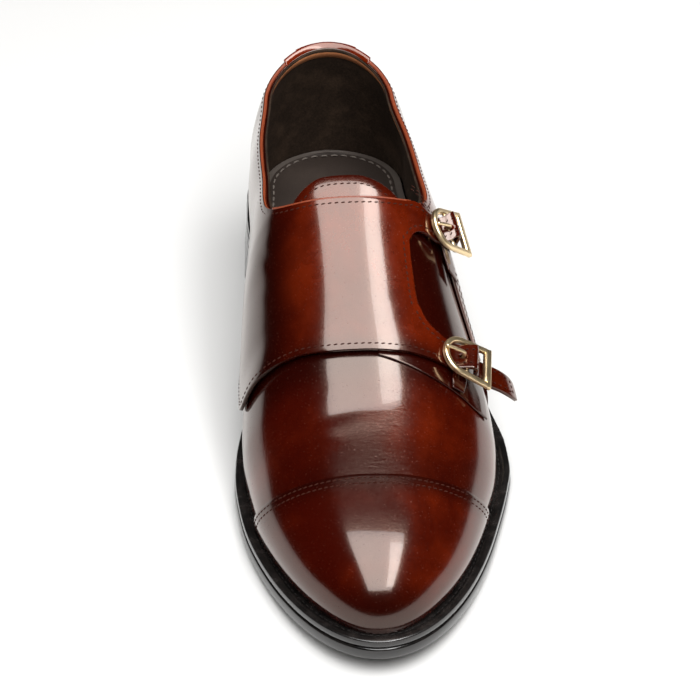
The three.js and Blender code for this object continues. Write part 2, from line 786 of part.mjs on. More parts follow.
// A loop round the heel, `spread` outside the sole's edge, closed by the straight breast.
function heelLoop(spread, heightAt) {
  const steps = 10;
  const side = (column, sign) => Array.from({ length: steps + 1 }, (_, i) => {
    const share = 1 - Math.cos((i / steps) * (Math.PI / 2));
    const along = mix(-spread, heelLength, share);
    const half = read(soleSections, 'at', column, along / shoeLength) * soleWidth + spread;
    const width = half * endRound(along, -spread, shoeLength, soleToePower);
    return new THREE.Vector3(sign * width, shoeLength / 2 - along, heightAt(along));
  });
  return [...side('outer', 1), ...side('inner', -1).reverse()];
}

function heelTopLift() {
  const roundOver = 0.8;
  return loftLoops([
    heelLoop(heelFlare - roundOver, () => 0),
    heelLoop(heelFlare, () => roundOver),
    heelLoop(heelFlare, () => topLift),
  ]);
}

// The stacked lifts, with a fine groove between them.
function heelStack() {
  const lifts = Math.round((heelHeight - topLift) / liftThickness);
  const foot = topLift + gap;
  const heightAt = (share) => (along) => mix(foot, soleBottom(along) - gap, share);
  const loops = [];
  for (let i = 0; i < lifts; i += 1) {
    const [low, high] = [i / lifts, (i + 1) / lifts];
    const edge = liftEdge / lifts;
    loops.push(heelLoop(heelFlare * (1 - low) - liftGroove, heightAt(low)));
    loops.push(heelLoop(heelFlare * (1 - low), heightAt(low + edge)));
    loops.push(heelLoop(heelFlare * (1 - high), heightAt(high - edge)));
  }
  loops.push(heelLoop(-liftGroove, heightAt(1)));
  return loftLoops(loops);
}

function frameOutline(path, inset, bar) {
  const right = frameLength / 2 - bar;
  const half = frameWidth / 2 - inset;
  const centre = frameRoundAt * frameLength;
  const round = frameRound * frameLength - inset;
  const shoulder = frameShoulder * half;
  path.moveTo(right, -half);
  path.lineTo(right, half);
  path.lineTo(centre, shoulder);
  path.absellipse(centre, 0, round, shoulder, Math.PI / 2, 1.5 * Math.PI, false);
  path.closePath();
  return path;
}

function buckleFrame(strap) {
  const outline = frameOutline(new THREE.Shape(), 0, 0);
  outline.holes.push(frameOutline(new THREE.Path(), frameSection, frameBar));
  const ring = new THREE.ExtrudeGeometry(outline, {
    depth: frameThickness - 2 * frameBevel,
    bevelThickness: frameBevel,
    bevelSize: frameBevel,
    bevelOffset: -frameBevel,
    bevelSegments: 1,
    curveSegments: 7,
  });
  ring.translate(0, 0, frameBevel - frameThickness / 2);
  const bar = new THREE.CylinderGeometry(centreBar, centreBar, frameWidth - 2 * centreBarInset, 10);
  bar.translate(0, 0, -centreBarDrop);
  return shape(solid(ring).add(solid(bar))).applyMatrix4(seats.get(strap.name));
}

// The prong comes up through the strap beside the centre bar and lies over the round end.
function buckleProng(strap) {
  const over = frameThickness / 2 + gap + prongRadius;
  const beside = centreBar + gap + prongRadius;
  const route = new THREE.CatmullRomCurve3([
    new THREE.Vector3(-beside, 0, -centreBarDrop),
    new THREE.Vector3(-beside - prongLean, 0, prongRise),
    new THREE.Vector3(-beside - prongShoulder, 0, over + prongArch),
    new THREE.Vector3(-prongMiddle * frameLength, 0, over + prongArch),
    new THREE.Vector3(-frameLength / 2 + frameSection / 2, 0, over),
    new THREE.Vector3(-frameLength / 2 - prongTip, 0, over - prongDip),
  ]);
  const section = new THREE.Shape().absarc(0, 0, prongRadius, 0, 2 * Math.PI, false);
  const rod = new THREE.ExtrudeGeometry(section, {
    steps: 9,
    curveSegments: 3,
    bevelEnabled: false,
    extrudePath: route,
  });
  return shape(solid(rod)).applyMatrix4(seats.get(strap.name));
}

function prongHole(strap) {
  const radius = prongRadius + 2 * gap;
  const hole = new THREE.CylinderGeometry(radius, radius, prongHoleDepth, 12);
  hole.rotateX(Math.PI / 2);
  hole.translate(-centreBar - gap - prongRadius - prongLean, 0, 0);
  return solid(hole.applyMatrix4(seats.get(strap.name)));
}

// The leather tab that carries a buckle, sewn down below its strap and square to it.
function buckleTab(strap) {
  const reachAt = (along, around) => {
    return lastPoint(along, around, 0).applyMatrix4(intoSeat.get(strap.name)).x;
  };
  const middle = strapMiddle(strap, strap.around);
  const step = 0.01;
  const perAround = (reachAt(middle, strap.around + step) - reachAt(middle, strap.around)) / step;
  const perAlong = reachAt(middle + 1, strap.around) - reachAt(middle, strap.around);
  const columns = 6;
  const rows = [-1, 0, 1].map((side) => Array.from({ length: columns + 1 }, (_, k) => {
    const off = mix(-tabRear, tabFront, k / columns) * frameWidth;
    const around = strap.around + (side * tabHalf - perAlong * off) / perAround;
    return { along: middle + off, around, lift: gap + sheetGap + quarterLeather };
  }));
  return shape(leatherSheet(rows, () => tabLeather));
}

const finishes = {
  vamp: { color: 0x5a1c10, roughness: 0.22, metalness: 0 },
  burnished: { color: 0x4a140c, roughness: 0.2, metalness: 0 },
  collar: { color: 0x9a4722, roughness: 0.4, metalness: 0 },
  dark: { color: 0x2a1a16, roughness: 0.6, metalness: 0 },
  sole: { color: 0x0d0c0c, roughness: 0.25, metalness: 0 },
  rubber: { color: 0x121212, roughness: 0.7, metalness: 0 },
  gold: { color: 0xc9a15a, roughness: 0.25, metalness: 1 },
};

const shoe = new THREE.Group();

function addPiece(name, geometry, finish) {
  const mesh = new THREE.Mesh(geometry, new THREE.MeshStandardMaterial(finishes[finish]));
  mesh.name = name;
  shoe.add(mesh);
}

addPiece('outsole', outsole(), 'sole');
addPiece('welt', welt(), 'sole');
addPiece('heel_stack', heelStack(), 'sole');
addPiece('heel_top_lift', heelTopLift(), 'rubber');
addPiece('insole', insole(), 'dark');
addPiece('upper', upper(), 'vamp');
addPiece('tongue', tongue(), 'vamp');
addPiece('toe_cap', toeCap(), 'burnished');
addPiece('strap_panel', strapPanel(), 'burnished');
addPiece('outer_quarter', outerQuarter(), 'vamp');
addPiece('backstay', backstay(), 'collar');
addPiece('under_flap', underFlap(), 'dark');
for (const strap of straps) {
  addPiece(`${strap.name}_buckle_tab`, buckleTab(strap), 'dark');
  addPiece(`${strap.name}_buckle_frame`, buckleFrame(strap), 'gold');
  addPiece(`${strap.name}_buckle_prong`, buckleProng(strap), 'gold');
}

// The origin is on the floor, below the middle of the shoe.
const extent = new THREE.Box3().setFromObject(shoe);
const middle = extent.getCenter(new THREE.Vector3());
shoe.position.set(-middle.x, -middle.y, -extent.min.z);

export default shoe;
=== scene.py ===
import math

import bpy
import numpy as np
from mathutils import Matrix, Vector


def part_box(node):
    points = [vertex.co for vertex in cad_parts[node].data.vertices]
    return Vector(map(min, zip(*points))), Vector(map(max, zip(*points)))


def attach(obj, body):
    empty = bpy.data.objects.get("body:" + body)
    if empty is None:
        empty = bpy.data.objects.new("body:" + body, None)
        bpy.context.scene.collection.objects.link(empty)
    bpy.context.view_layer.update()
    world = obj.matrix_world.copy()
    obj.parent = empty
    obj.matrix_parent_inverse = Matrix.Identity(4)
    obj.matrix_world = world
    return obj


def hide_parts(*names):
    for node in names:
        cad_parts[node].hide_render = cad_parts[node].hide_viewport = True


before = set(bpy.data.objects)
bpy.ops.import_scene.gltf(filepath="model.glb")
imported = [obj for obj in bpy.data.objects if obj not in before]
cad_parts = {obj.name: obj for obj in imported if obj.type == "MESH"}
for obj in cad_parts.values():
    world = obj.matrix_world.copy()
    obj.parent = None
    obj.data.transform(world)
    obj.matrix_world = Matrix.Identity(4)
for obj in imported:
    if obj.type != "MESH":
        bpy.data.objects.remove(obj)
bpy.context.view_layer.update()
print("frame loaded:", len(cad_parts), "solids")

# Sizes of the shoe in metres, the same as the solids. Along the shoe is measured from the heel.
shoe = {
    "length": 0.304, "soleWidth": 0.111, "ballWidth": 0.104, "instep": 0.093,
    "heelHeight": 0.0235, "heelLength": 0.076, "toeSpring": 0.0069,
    "outsole": 0.0055, "welt": 0.0033, "weltMargin": 0.0067, "gap": 0.0003, "sheetGap": 0.0005,
    "wall": 0.0016, "topLift": 0.006, "liftThickness": 0.0042, "heelFlare": 0.0012,
}

# The form of the upper in sections: half widths, top, squareness and tuck, as shares.
lastTable = {
    "at":     (0.000, 0.112, 0.197, 0.280, 0.362, 0.414, 0.461,
               0.526, 0.615, 0.691, 0.789, 0.888, 0.954, 1.000),
    "inner":  (0.320, 0.325, 0.345, 0.352, 0.378, 0.402, 0.424,
               0.445, 0.462, 0.466, 0.482, 0.483, 0.485, 0.485),
    "outer":  (0.335, 0.335, 0.365, 0.395, 0.432, 0.458, 0.482,
               0.512, 0.537, 0.539, 0.524, 0.522, 0.520, 0.520),
    "ridge":  (1.140, 1.140, 1.130, 1.107, 1.054, 1.000, 0.909,
               0.801, 0.661, 0.570, 0.495, 0.430, 0.376, 0.350),
    "lean":   (-0.008, -0.018, -0.020, -0.019, -0.016, -0.010, -0.004,
               0, 0, 0, 0, 0, 0, 0),
    "full":   (2.10, 2.10, 2.20, 2.30, 2.50, 2.40, 2.25,
               2.15, 2.10, 2.05, 2.10, 2.20, 2.20, 2.20),
    "tuck":   (0.05, 0.05, 0.06, 0.11, 0.16, 0.16, 0.14,
               0.09, 0.04, 0.04, 0.07, 0.10, 0.12, 0.12),
}
soleTable = {
    "at":    (0.000, 0.112, 0.170, 0.250, 0.335, 0.440, 0.530, 0.600, 0.641, 0.691, 0.773, 1.000),
    "inner": (0.328, 0.330, 0.338, 0.322, 0.300, 0.345, 0.410, 0.446, 0.455, 0.464, 0.478, 0.486),
    "outer": (0.320, 0.322, 0.330, 0.332, 0.365, 0.438, 0.512, 0.546, 0.548, 0.537, 0.522, 0.513),
}
collarTable = {
    "at":     (0.000, 0.020, 0.060, 0.110, 0.170, 0.250, 0.320,
               0.355, 0.376, 0.392, 0.403, 0.411, 0.416, 0.420),
    "back":   (1.03, 0.95, 0.62, 0.30, 0.07, -0.03, 0,
               0, 0, 0, 0, 0, 0, 0),
    "front":  (0, 0, 0, 0, 0, 0, 0,
               0.05, 0.17, 0.37, 0.58, 0.80, 1.00, 1.50),
}
# Edges of the strap panel. Around runs from the outer edge of the sole (0) to the inner edge (1).
panelTable = {
    "around":     (0.115, 0.130, 0.145, 0.180, 0.220, 0.260, 0.300, 0.328, 0.345, 0.358, 0.395, 0.440,
                  0.500, 0.560, 0.640, 0.720, 0.800, 0.870, 0.900, 0.912, 0.930, 0.962, 0.985, 1.000),
    "throat":     (0.364, 0.369, 0.373, 0.3825, 0.3945, 0.4045, 0.4015, 0.4005, 0.4, 0.4, 0.39, 0.388,
                  0.388, 0.388, 0.388, 0.388, 0.385, 0.375, 0.36, 0.345, 0.315, 0.265, 0.225, 0.19),
    "slitRear":   (0.395, 0.4, 0.404, 0.4135, 0.4255, 0.436, 0.438, 0.44, 0.445, 0.454, 0.455, 0.455,
                  0.452, 0.45, 0.448, 0.445, 0.44, 0.43, 0.415, 0.4, 0.37, 0.32, 0.27, 0.225),
    "slitFront":  (0.5715, 0.569, 0.5693, 0.5713, 0.5735, 0.576, 0.5735, 0.567, 0.556, 0.538, 0.537, 0.542,
                  0.545, 0.547, 0.548, 0.548, 0.545, 0.54, 0.53, 0.515, 0.475, 0.41, 0.345, 0.29),
    "front":      (0.599, 0.603, 0.6053, 0.6073, 0.6095, 0.612, 0.612, 0.6115, 0.611, 0.611, 0.61, 0.611,
                  0.611, 0.609, 0.602, 0.596, 0.59, 0.587, 0.58, 0.565, 0.528, 0.46, 0.39, 0.325),
}
quarterTable = {
    "around": (0.000, 0.060, 0.110, 0.150, 0.190, 0.240, 0.300, 0.420),
    "front":  (0.560, 0.555, 0.535, 0.490, 0.440, 0.405, 0.385, 0.375),
}
flapTable = {
    "around": (0.150, 0.200, 0.270, 0.340, 0.400, 0.460),
    "rear":   (0.560, 0.565, 0.575, 0.588, 0.590, 0.592),
    "front":  (0.640, 0.645, 0.640, 0.632, 0.623, 0.614),
}
tongueTable = {
    "around": (0.260, 0.330, 0.400, 0.470, 0.540, 0.610, 0.680, 0.740),
    "rear":   (0.423, 0.398, 0.375, 0.365, 0.366, 0.377, 0.399, 0.422),
    "front":  (0.520, 0.530, 0.535, 0.540, 0.540, 0.535, 0.530, 0.520),
}
form = {
    "start": 0.003, "end": shoe["length"] - shoe["weltMargin"], "bulge": 0.050, "collarBack": 0.0905,
    "collarSide": 0.079, "throatTop": 0.095, "lean": 0.0042, "tuck": 0.0025, "heelReach": 0.070,
    "toeBox": 0.017, "ball": 0.641, "heelRound": 0.112, "soleToe": 1.5, "lastToe": 1.55, "seamBack": 0.0102,
    "shank": 0.2, "tread": 0.566, "springAt": 0.70, "springPower": 1.8, "tuckBelow": 0.42,
    "collarEnd": 0.42, "core": -0.04,
}


def read(table, key, column, value):    # a smooth curve through a table's rows, without overshoot
    xs, ys = np.array(table[key], float), np.array(table[column], float)
    slope = np.diff(ys) / np.diff(xs)
    before, after = slope[:-1], slope[1:]
    same = before * after > 0
    inner = np.where(same, 2 * before * after / np.where(same, before + after, 1), 0)
    tangent = np.concatenate([[slope[0]], inner, [slope[-1]]])
    at = np.clip(value, xs[0], xs[-1])
    i = np.clip(np.searchsorted(xs, at, side="right") - 1, 0, len(xs) - 2)
    span = xs[i + 1] - xs[i]
    t = (at - xs[i]) / span
    low = (1 + 2 * t) * (1 - t) ** 2 * ys[i] + t * (1 - t) ** 2 * span * tangent[i]
    return low + t * t * (3 - 2 * t) * ys[i + 1] + t * t * (t - 1) * span * tangent[i + 1]


def smooth(t):
    t = np.clip(t, 0, 1)
    return t * t * (3 - 2 * t)


def mix(a, b, t):
    return a + (b - a) * t


def soleBottom(along):
    length = shoe["length"]
    shank, tread, spring = form["shank"] * length, form["tread"] * length, form["springAt"] * length
    rear = shoe["heelHeight"] * (1 - smooth((along - shank) / (tread - shank)))
    reach = np.maximum(0, (along - spring) / (length - spring))
    return np.where(along < tread, rear, shoe["toeSpring"] * reach ** form["springPower"])


def soleTop(along):
    return soleBottom(along) + shoe["outsole"]


def weltTop(along):
    return soleTop(along) + shoe["gap"] + shoe["welt"]


def endRound(along, start, end, toePower):
    heelRound, ball = form["heelRound"] * shoe["length"], form["ball"] * shoe["length"]
    back = np.maximum(0, (heelRound - along) / (heelRound - start))
    front = np.maximum(0, (along - ball) / (end - ball))
    backShare = np.sqrt(np.maximum(0, 1 - back ** 2))
    return backShare * np.sqrt(np.maximum(0, 1 - front ** toePower))


# The solids' own middle is moved over the origin, so the sole's box says how far.
soleSpread = np.linspace(0, shoe["length"], 400)
soleOuter = read(soleTable, "at", "outer", soleSpread / shoe["length"]) * shoe["soleWidth"]
soleOuter = soleOuter * endRound(soleSpread, 0, shoe["length"], form["soleToe"])
soleLow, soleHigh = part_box("outsole")
shift = np.array([soleHigh.x - soleOuter.max(), soleLow.y + shoe["length"] / 2, 0.0])
print("shift of the solids", shift.round(5))


def place3(x, along, z):
    parts = np.broadcast_arrays(x + shift[0], shoe["length"] / 2 - along + shift[1], z)
    return np.stack(parts, -1)


def overLast(place, around, lift):      # a point on the form of the upper, lift outside it
    start, end = form["start"] - lift, form["end"] + lift
    along = mix(start, end, (place - form["start"]) / (form["end"] - form["start"]))
    at = along / shoe["length"]
    side = np.cos(around * math.pi)
    half = np.where(side > 0, read(lastTable, "at", "outer", at), read(lastTable, "at", "inner", at))
    width = (half * shoe["ballWidth"] + lift) * endRound(along, start, end, form["lastToe"])
    box = np.clip((along - end + form["toeBox"]) / form["toeBox"], 0, 1)
    foot = weltTop(along) + shoe["gap"]
    ridge = read(lastTable, "at", "ridge", at) * shoe["instep"] + lift
    height = (ridge - foot) * np.sqrt(1 - box ** 2)
    full = read(lastTable, "at", "full", at)
    up = np.abs(np.sin(around * math.pi)) ** (2 / full)
    out = np.abs(side) ** (2 / full)
    tuck = 1 - read(lastTable, "at", "tuck", at) * np.maximum(0, 1 - up / form["tuckBelow"]) ** 2
    lean = read(lastTable, "at", "lean", at) * shoe["ballWidth"] * up
    x = np.sign(side) * width * out * tuck + lean * endRound(along, start, end, 2)
    z = foot + height * up
    rise = z - form["bulge"]
    above = form["lean"] * (rise / (form["collarBack"] - form["bulge"])) ** 2
    below = form["tuck"] * (rise / (form["bulge"] - shoe["heelHeight"])) ** 2
    curve = np.where(rise > 0, above, below) * np.maximum(0, 1 - (along - start) / form["heelReach"]) ** 2
    return place3(x, along + curve, z)


def belowCollar(place, around, lift):   # above zero where the leather is kept
    point = overLast(place, around, lift)
    at = (shoe["length"] / 2 + shift[1] - point[..., 1]) / shoe["length"]
    back = read(collarTable, "at", "back", at) * (form["collarBack"] - form["collarSide"])
    front = read(collarTable, "at", "front", at) * (form["throatTop"] - form["collarSide"])
    return np.where(at > form["collarEnd"], 1.0, form["collarSide"] + back + front - point[..., 2])


def deselectAll():
    if bpy.context.mode != "OBJECT":
        bpy.ops.object.mode_set(mode="OBJECT")
    bpy.ops.object.select_all(action="DESELECT")


def pick(piece):
    deselectAll()
    piece.select_set(True)
    bpy.context.view_layer.objects.active = piece


def applyModifier(piece, kind, **settings):
    pick(piece)
    modifier = piece.modifiers.new(kind.lower(), kind)
    for key, value in settings.items():
        setattr(modifier, key, value)
    bpy.ops.object.modifier_apply(modifier=modifier.name)


def roundEdges(piece, width, angle=55):
    applyModifier(piece, "BEVEL", width=width, segments=2, limit_method="ANGLE",
                  angle_limit=math.radians(angle))


def finishPiece(piece, materials, replaced=(), angle=None):
    pick(piece)
    if angle is None:
        bpy.ops.object.shade_smooth()
    else:
        bpy.ops.object.shade_smooth_by_angle(angle=math.radians(angle))
    piece.data.materials.clear()
    for material in materials:
        piece.data.materials.append(material)
    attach(piece, "root")
    if replaced:
        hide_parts(*replaced)
    return piece


def meshPiece(name, points, faces):     # a piece from worked out points
    mesh = bpy.data.meshes.new(name)
    mesh.from_pydata([tuple(p) for p in points], [], faces)
    piece = bpy.data.objects.new(name, mesh)
    bpy.context.scene.collection.objects.link(piece)
    return piece


def turnOutward(piece):                 # welds equal points and turns every face outward
    pick(piece)
    bpy.ops.object.mode_set(mode="EDIT")
    bpy.ops.mesh.select_all(action="SELECT")
    bpy.ops.mesh.remove_doubles(threshold=1e-6)
    bpy.ops.mesh.normals_make_consistent(inside=False)
    bpy.ops.object.mode_set(mode="OBJECT")


def trimSheet(place, around, lift):     # moves the points just past the collar onto it
    rows, columns = place.shape
    inside = belowCollar(place, around, lift) > 0
    newPlace, newAround = place.copy(), around.copy()
    best = np.full(place.shape, np.inf)
    points = overLast(place, around, lift)
    for down in (-1, 0, 1):
        for right in (-1, 0, 1):
            if down == 0 and right == 0:
                continue
            r = np.clip(np.arange(rows) + down, 0, rows - 1)[:, None]
            c = np.clip(np.arange(columns) + right, 0, columns - 1)[None, :]
            meets = ~inside & inside[r, c]
            if not meets.any():
                continue
            near, far = np.zeros(meets.sum()), np.ones(meets.sum())
            p0, a0, l0 = place[meets], around[meets], lift[meets]
            p1, a1, l1 = place[r, c][meets], around[r, c][meets], lift[r, c][meets]
            for _ in range(14):
                middle = (near + far) / 2
                kept = belowCollar(mix(p0, p1, middle), mix(a0, a1, middle), mix(l0, l1, middle)) > 0
                near, far = np.where(kept, near, middle), np.where(kept, middle, far)
            distance = far * np.linalg.norm(points[r, c][meets] - points[meets], axis=-1)
            closer = distance < best[meets]
            spots = np.argwhere(meets)[closer]
            best[spots[:, 0], spots[:, 1]] = distance[closer]
            newPlace[spots[:, 0], spots[:, 1]] = mix(p0, p1, far)[closer]
            newAround[spots[:, 0], spots[:, 1]] = mix(a0, a1, far)[closer]
    corner = inside[:-1, :-1] | inside[1:, :-1] | inside[:-1, 1:] | inside[1:, 1:]
    return newPlace, newAround, corner


def sheetPiece(name, place, around, liftAt, thickness, kept=None, burnishAndShade=None, trimmed=True, rim=0.0003):
    rows, columns = place.shape
    shown = np.ones((rows - 1, columns - 1), bool) if kept is None else kept.copy()
    if trimmed:
        place, around, corner = trimSheet(place, around, liftAt(place, around))
        shown &= corner
    wall = thickness(place, around) if callable(thickness) else thickness + 0 * place
    points = overLast(place, around, liftAt(place, around) + wall)
    deselectAll()
    bpy.ops.mesh.primitive_grid_add(x_subdivisions=columns - 1, y_subdivisions=rows - 1, size=1)
    piece = bpy.context.active_object
    piece.name = name
    mesh = piece.data
    flat = np.zeros(len(mesh.vertices) * 3)
    mesh.vertices.foreach_get("co", flat)
    flat = flat.reshape(-1, 3)
    c = np.rint((flat[:, 0] + 0.5) * (columns - 1)).astype(int)
    r = np.rint((flat[:, 1] + 0.5) * (rows - 1)).astype(int)
    mesh.vertices.foreach_set("co", points[r, c].ravel())
    # darkening per point, burnish and painted shade, read by the leather material
    dark = mesh.attributes.new("burnishAndShade", "FLOAT", "POINT")
    shade = burnishAndShade(place, around) if burnishAndShade else 0 * place
    dark.data.foreach_set("value", np.clip(shade, 0, 1)[r, c].astype(np.float32))
    first = np.zeros(len(mesh.polygons), int)
    mesh.polygons.foreach_get("loop_start", first)
    corners = np.zeros(len(mesh.loops), int)
    mesh.loops.foreach_get("vertex_index", corners)
    quads = corners[first[:, None] + np.arange(4)]
    low = shown[r[quads].min(axis=1), c[quads].min(axis=1)]
    mesh.polygons.foreach_set("select", ~low)
    mesh.edges.foreach_set("select", np.zeros(len(mesh.edges), bool))
    mesh.vertices.foreach_set("select", np.zeros(len(mesh.vertices), bool))
    mesh.update()
    if not shown.all():
        bpy.context.tool_settings.mesh_select_mode = (False, False, True)
        bpy.ops.object.mode_set(mode="EDIT")
        bpy.ops.mesh.delete(type="FACE")
        bpy.ops.object.mode_set(mode="OBJECT")
    bpy.ops.object.mode_set(mode="EDIT")
    bpy.ops.mesh.select_all(action="SELECT")
    bpy.ops.mesh.remove_doubles(threshold=2e-5)
    bpy.ops.object.mode_set(mode="OBJECT")
    middle = overLast(0.5 * shoe["length"], 0.5, form["core"])
    facing = sum((f.center - Vector(middle)).dot(f.normal) * f.area for f in mesh.polygons)
    if facing < 0:
        mesh.flip_normals()
    applyModifier(piece, "SOLIDIFY", thickness=float(np.mean(wall)), offset=-1, use_even_offset=True,
                  material_offset_rim=1)
    if rim:
        roundEdges(piece, rim)
    return piece


# Two straps and their buckles. The seat is the buckle's place: X along the strap to its free end.
straps = {
    "upper": {"rear": "throat", "front": "slitRear", "around": 0.223, "end": 0.165,
              "standOff": 0.008, "tilt": 11},
    "lower": {"rear": "slitFront", "front": "front", "around": 0.255, "end": 0.115,
              "standOff": 0.009, "tilt": 9},
}
buckle = {
    "width": 0.020, "length": 0.023, "section": 0.0024, "bar": 0.0033, "thickness": 0.0025,
    "chamfer": 0.00055, "roundAt": -0.1, "round": 0.4, "shoulder": 0.93, "lift": 0.006,
    "centreBar": 0.0009, "barInset": 0.0016, "drop": 0.0002, "clearance": 0.00162, "rest": 0.0018,
    "humpReach": 0.0073, "humpSharpness": 3.7, "freeAt": 0.003, "freeReach": 0.018, "edge": 0.00018,
    "edgeAngle": 25,
}
prongForm = {
    "radius": 0.00075, "lean": 0.00035, "rise": 0.0012, "shoulder": 0.0016, "arch": 0.00045,
    "middle": 0.6, "tip": 0.0004, "dip": 0.0002, "taper": 0.16,
}


def edgePlace(table, column, around):
    return read(table, "around", column, around) * shoe["length"]


def strapMiddle(strap, around):
    rear = edgePlace(panelTable, strap["rear"], around)
    return (rear + edgePlace(panelTable, strap["front"], around)) / 2


def buckleSeat(strap):
    spot, step, small = strap["around"], 0.03, 0.001
    middle = strapMiddle(strap, spot)
    ahead = Vector(overLast(strapMiddle(strap, spot - step), spot - step, 0.0))
    behind = Vector(overLast(strapMiddle(strap, spot + step), spot + step, 0.0))
    x = (ahead - behind).normalized()
    across = Vector(overLast(middle + small, spot, 0.0)) - Vector(overLast(middle - small, spot, 0.0))
    z = x.cross(across).normalized()
    if z.x < 0:
        z.negate()
    y = z.cross(x).normalized()
    tipped = Matrix.Rotation(-math.radians(strap["tilt"]), 4, y)
    seat = tipped @ Matrix((x, y, z)).transposed().to_4x4()
    seat.translation = Vector(overLast(middle, spot, buckle["lift"]))
    return seat


seats = {name: buckleSeat(strap) for name, strap in straps.items()}


def strapLift(name, place, around):     # the strap's hump over the bar, and its free end
    inward = np.array(seats[name].inverted())
    point = overLast(place, around, 0.0)
    reach = point @ inward[0, :3] + inward[0, 3]
    top = buckle["lift"] - buckle["drop"] + buckle["centreBar"] + buckle["clearance"] - buckle["rest"]
    hump = top * np.exp(-buckle["humpSharpness"] * (reach / buckle["humpReach"]) ** 2)
    free = smooth((reach - buckle["freeAt"]) / buckle["freeReach"])
    return buckle["rest"] + hump + straps[name]["standOff"] * free


# The strap panel: its walls, the rise at its front, and the root where it parts into straps
panel = {
    "quarterColumns": 46, "strapColumns": 14, "slitColumns": 16, "root": 0.358, "quarterRoot": 0.44,
    "rows": 88, "strapRows": 48, "thin": 0.0012, "thick": 0.0017, "thickenAt": 0.36, "thickenReach": 0.04,
    "rise": 0.0014, "riseAt": 0.53, "riseReach": 0.07, "side": 0.9, "sideReach": 0.12, "blend": 0.05,
    "bow": 0.003, "bowPower": 2.5, "bowReach": 0.07, "innerShade": 0.85, "innerAt": 0.60,
    "innerReach": 0.14, "strapShade": 0.45, "strapAt": 0.34, "strapReach": 0.08, "crowding": 1.85,
}


def panelLift(place, around):
    at = place / shoe["length"]
    onTop = smooth((panel["side"] - around) / panel["sideReach"])
    rise = panel["rise"] * smooth((at - panel["riseAt"]) / panel["riseReach"]) * onTop
    base = shoe["sheetGap"] + rise
    strap = np.where(at > 0.5, strapLift("lower", place, around), strapLift("upper", place, around))
    onStrap = np.where(around > panel["root"], 0, smooth((panel["root"] - around) / panel["blend"]))
    return mix(base, np.maximum(base, strap), onStrap)


print("forms and seats ready")


class Wire:     # a socket with arithmetic
    def __init__(self, recipe, socket):
        self.recipe, self.socket = recipe, socket

    def math(self, operation, *others, clamp=False):
        values = [self.socket] + list(others)
        return self.recipe.node("ShaderNodeMath", {"operation": operation, "use_clamp": clamp}, values)

    def flipped(self, operation, other):
        return self.recipe.node("ShaderNodeMath", {"operation": operation}, [other, self.socket])

    def __add__(self, other):
        return self.math("ADD", other)

    def __sub__(self, other):
        return self.math("SUBTRACT", other)

    def __mul__(self, other):
        return self.math("MULTIPLY", other)

    def __truediv__(self, other):
        return self.math("DIVIDE", other)

    def __pow__(self, other):
        return self.math("POWER", other)

    def __rsub__(self, other):
        return self.flipped("SUBTRACT", other)

    __radd__ = __add__
    __rmul__ = __mul__

    def band(self, low, high):          # 0 below low, 1 above high, soft between
        settings = {"interpolation_type": "SMOOTHSTEP"}
        sockets = {"Value": self, "From Min": low, "From Max": high}
        return self.recipe.node("ShaderNodeMapRange", settings, sockets)


class Recipe:   # one procedural material
    def __init__(self, name, **constants):
        self.material = bpy.data.materials.new(name)
        self.material.use_nodes = True
        self.tree = self.material.node_tree
        self.shader = next(n for n in self.tree.nodes if n.type == "BSDF_PRINCIPLED")
        for key, value in constants.items():
            self.shader.inputs[key.replace("_", " ")].default_value = value
        self.place = self.node("ShaderNodeTexCoord", {}, {}, "Object")

    def node(self, kind, settings, sockets, output=0):
        made = self.tree.nodes.new(kind)
        for key, value in settings.items():
            setattr(made, key, value)
        pairs = enumerate(sockets) if isinstance(sockets, list) else sockets.items()
        for key, value in pairs:
            value = value.socket if isinstance(value, Wire) else value
            if isinstance(value, bpy.types.NodeSocket):
                self.tree.links.new(value, made.inputs[key])
            else:
                made.inputs[key].default_value = value
        return Wire(self, made.outputs[output])

    def noise(self, scale, detail=3.0, rough=0.5, stretch=(1, 1, 1), distortion=0.0):
        place = self.place
        if stretch != (1, 1, 1):
            place = self.node("ShaderNodeMapping", {}, {"Vector": self.place, "Scale": stretch})
        sockets = {"Vector": place, "Scale": scale, "Detail": detail, "Roughness": rough,
                   "Distortion": distortion}
        return self.node("ShaderNodeTexNoise", {}, sockets, "Fac")

    def attribute(self, name):
        return self.node("ShaderNodeAttribute", {"attribute_name": name}, {}, "Fac")

    def blend(self, share, first, second):      # two colours, or links to colours
        inputs = {0: share, 6: first, 7: second}
        return self.node("ShaderNodeMix", {"data_type": "RGBA"}, inputs, 2)

    def bump(self, height, distance, strength=1.0, under=None):
        sockets = {"Height": height, "Distance": distance, "Strength": strength}
        if under is not None:
            sockets["Normal"] = under
        return self.node("ShaderNodeBump", {}, sockets, "Normal")

    def feed(self, **links):
        for key, value in links.items():
            self.tree.links.new(value.socket, self.shader.inputs[key.replace("_", " ")])
        return self.material


# Colours of the burnished leather are linear values.
shine = {
    "deep": (0.0045, 0.0005, 0.0003, 1), "red": (0.024, 0.0013, 0.0003, 1),
    "amber": (0.115, 0.0100, 0.0008, 1),
    "tint": (1.0, 0.78, 0.66, 1), "coatTint": (1.0, 0.93, 0.88, 1), "roughness": 0.12,
    "pore": 0.00002, "grain": 0.00004, "crinkle": 0.00012,
}


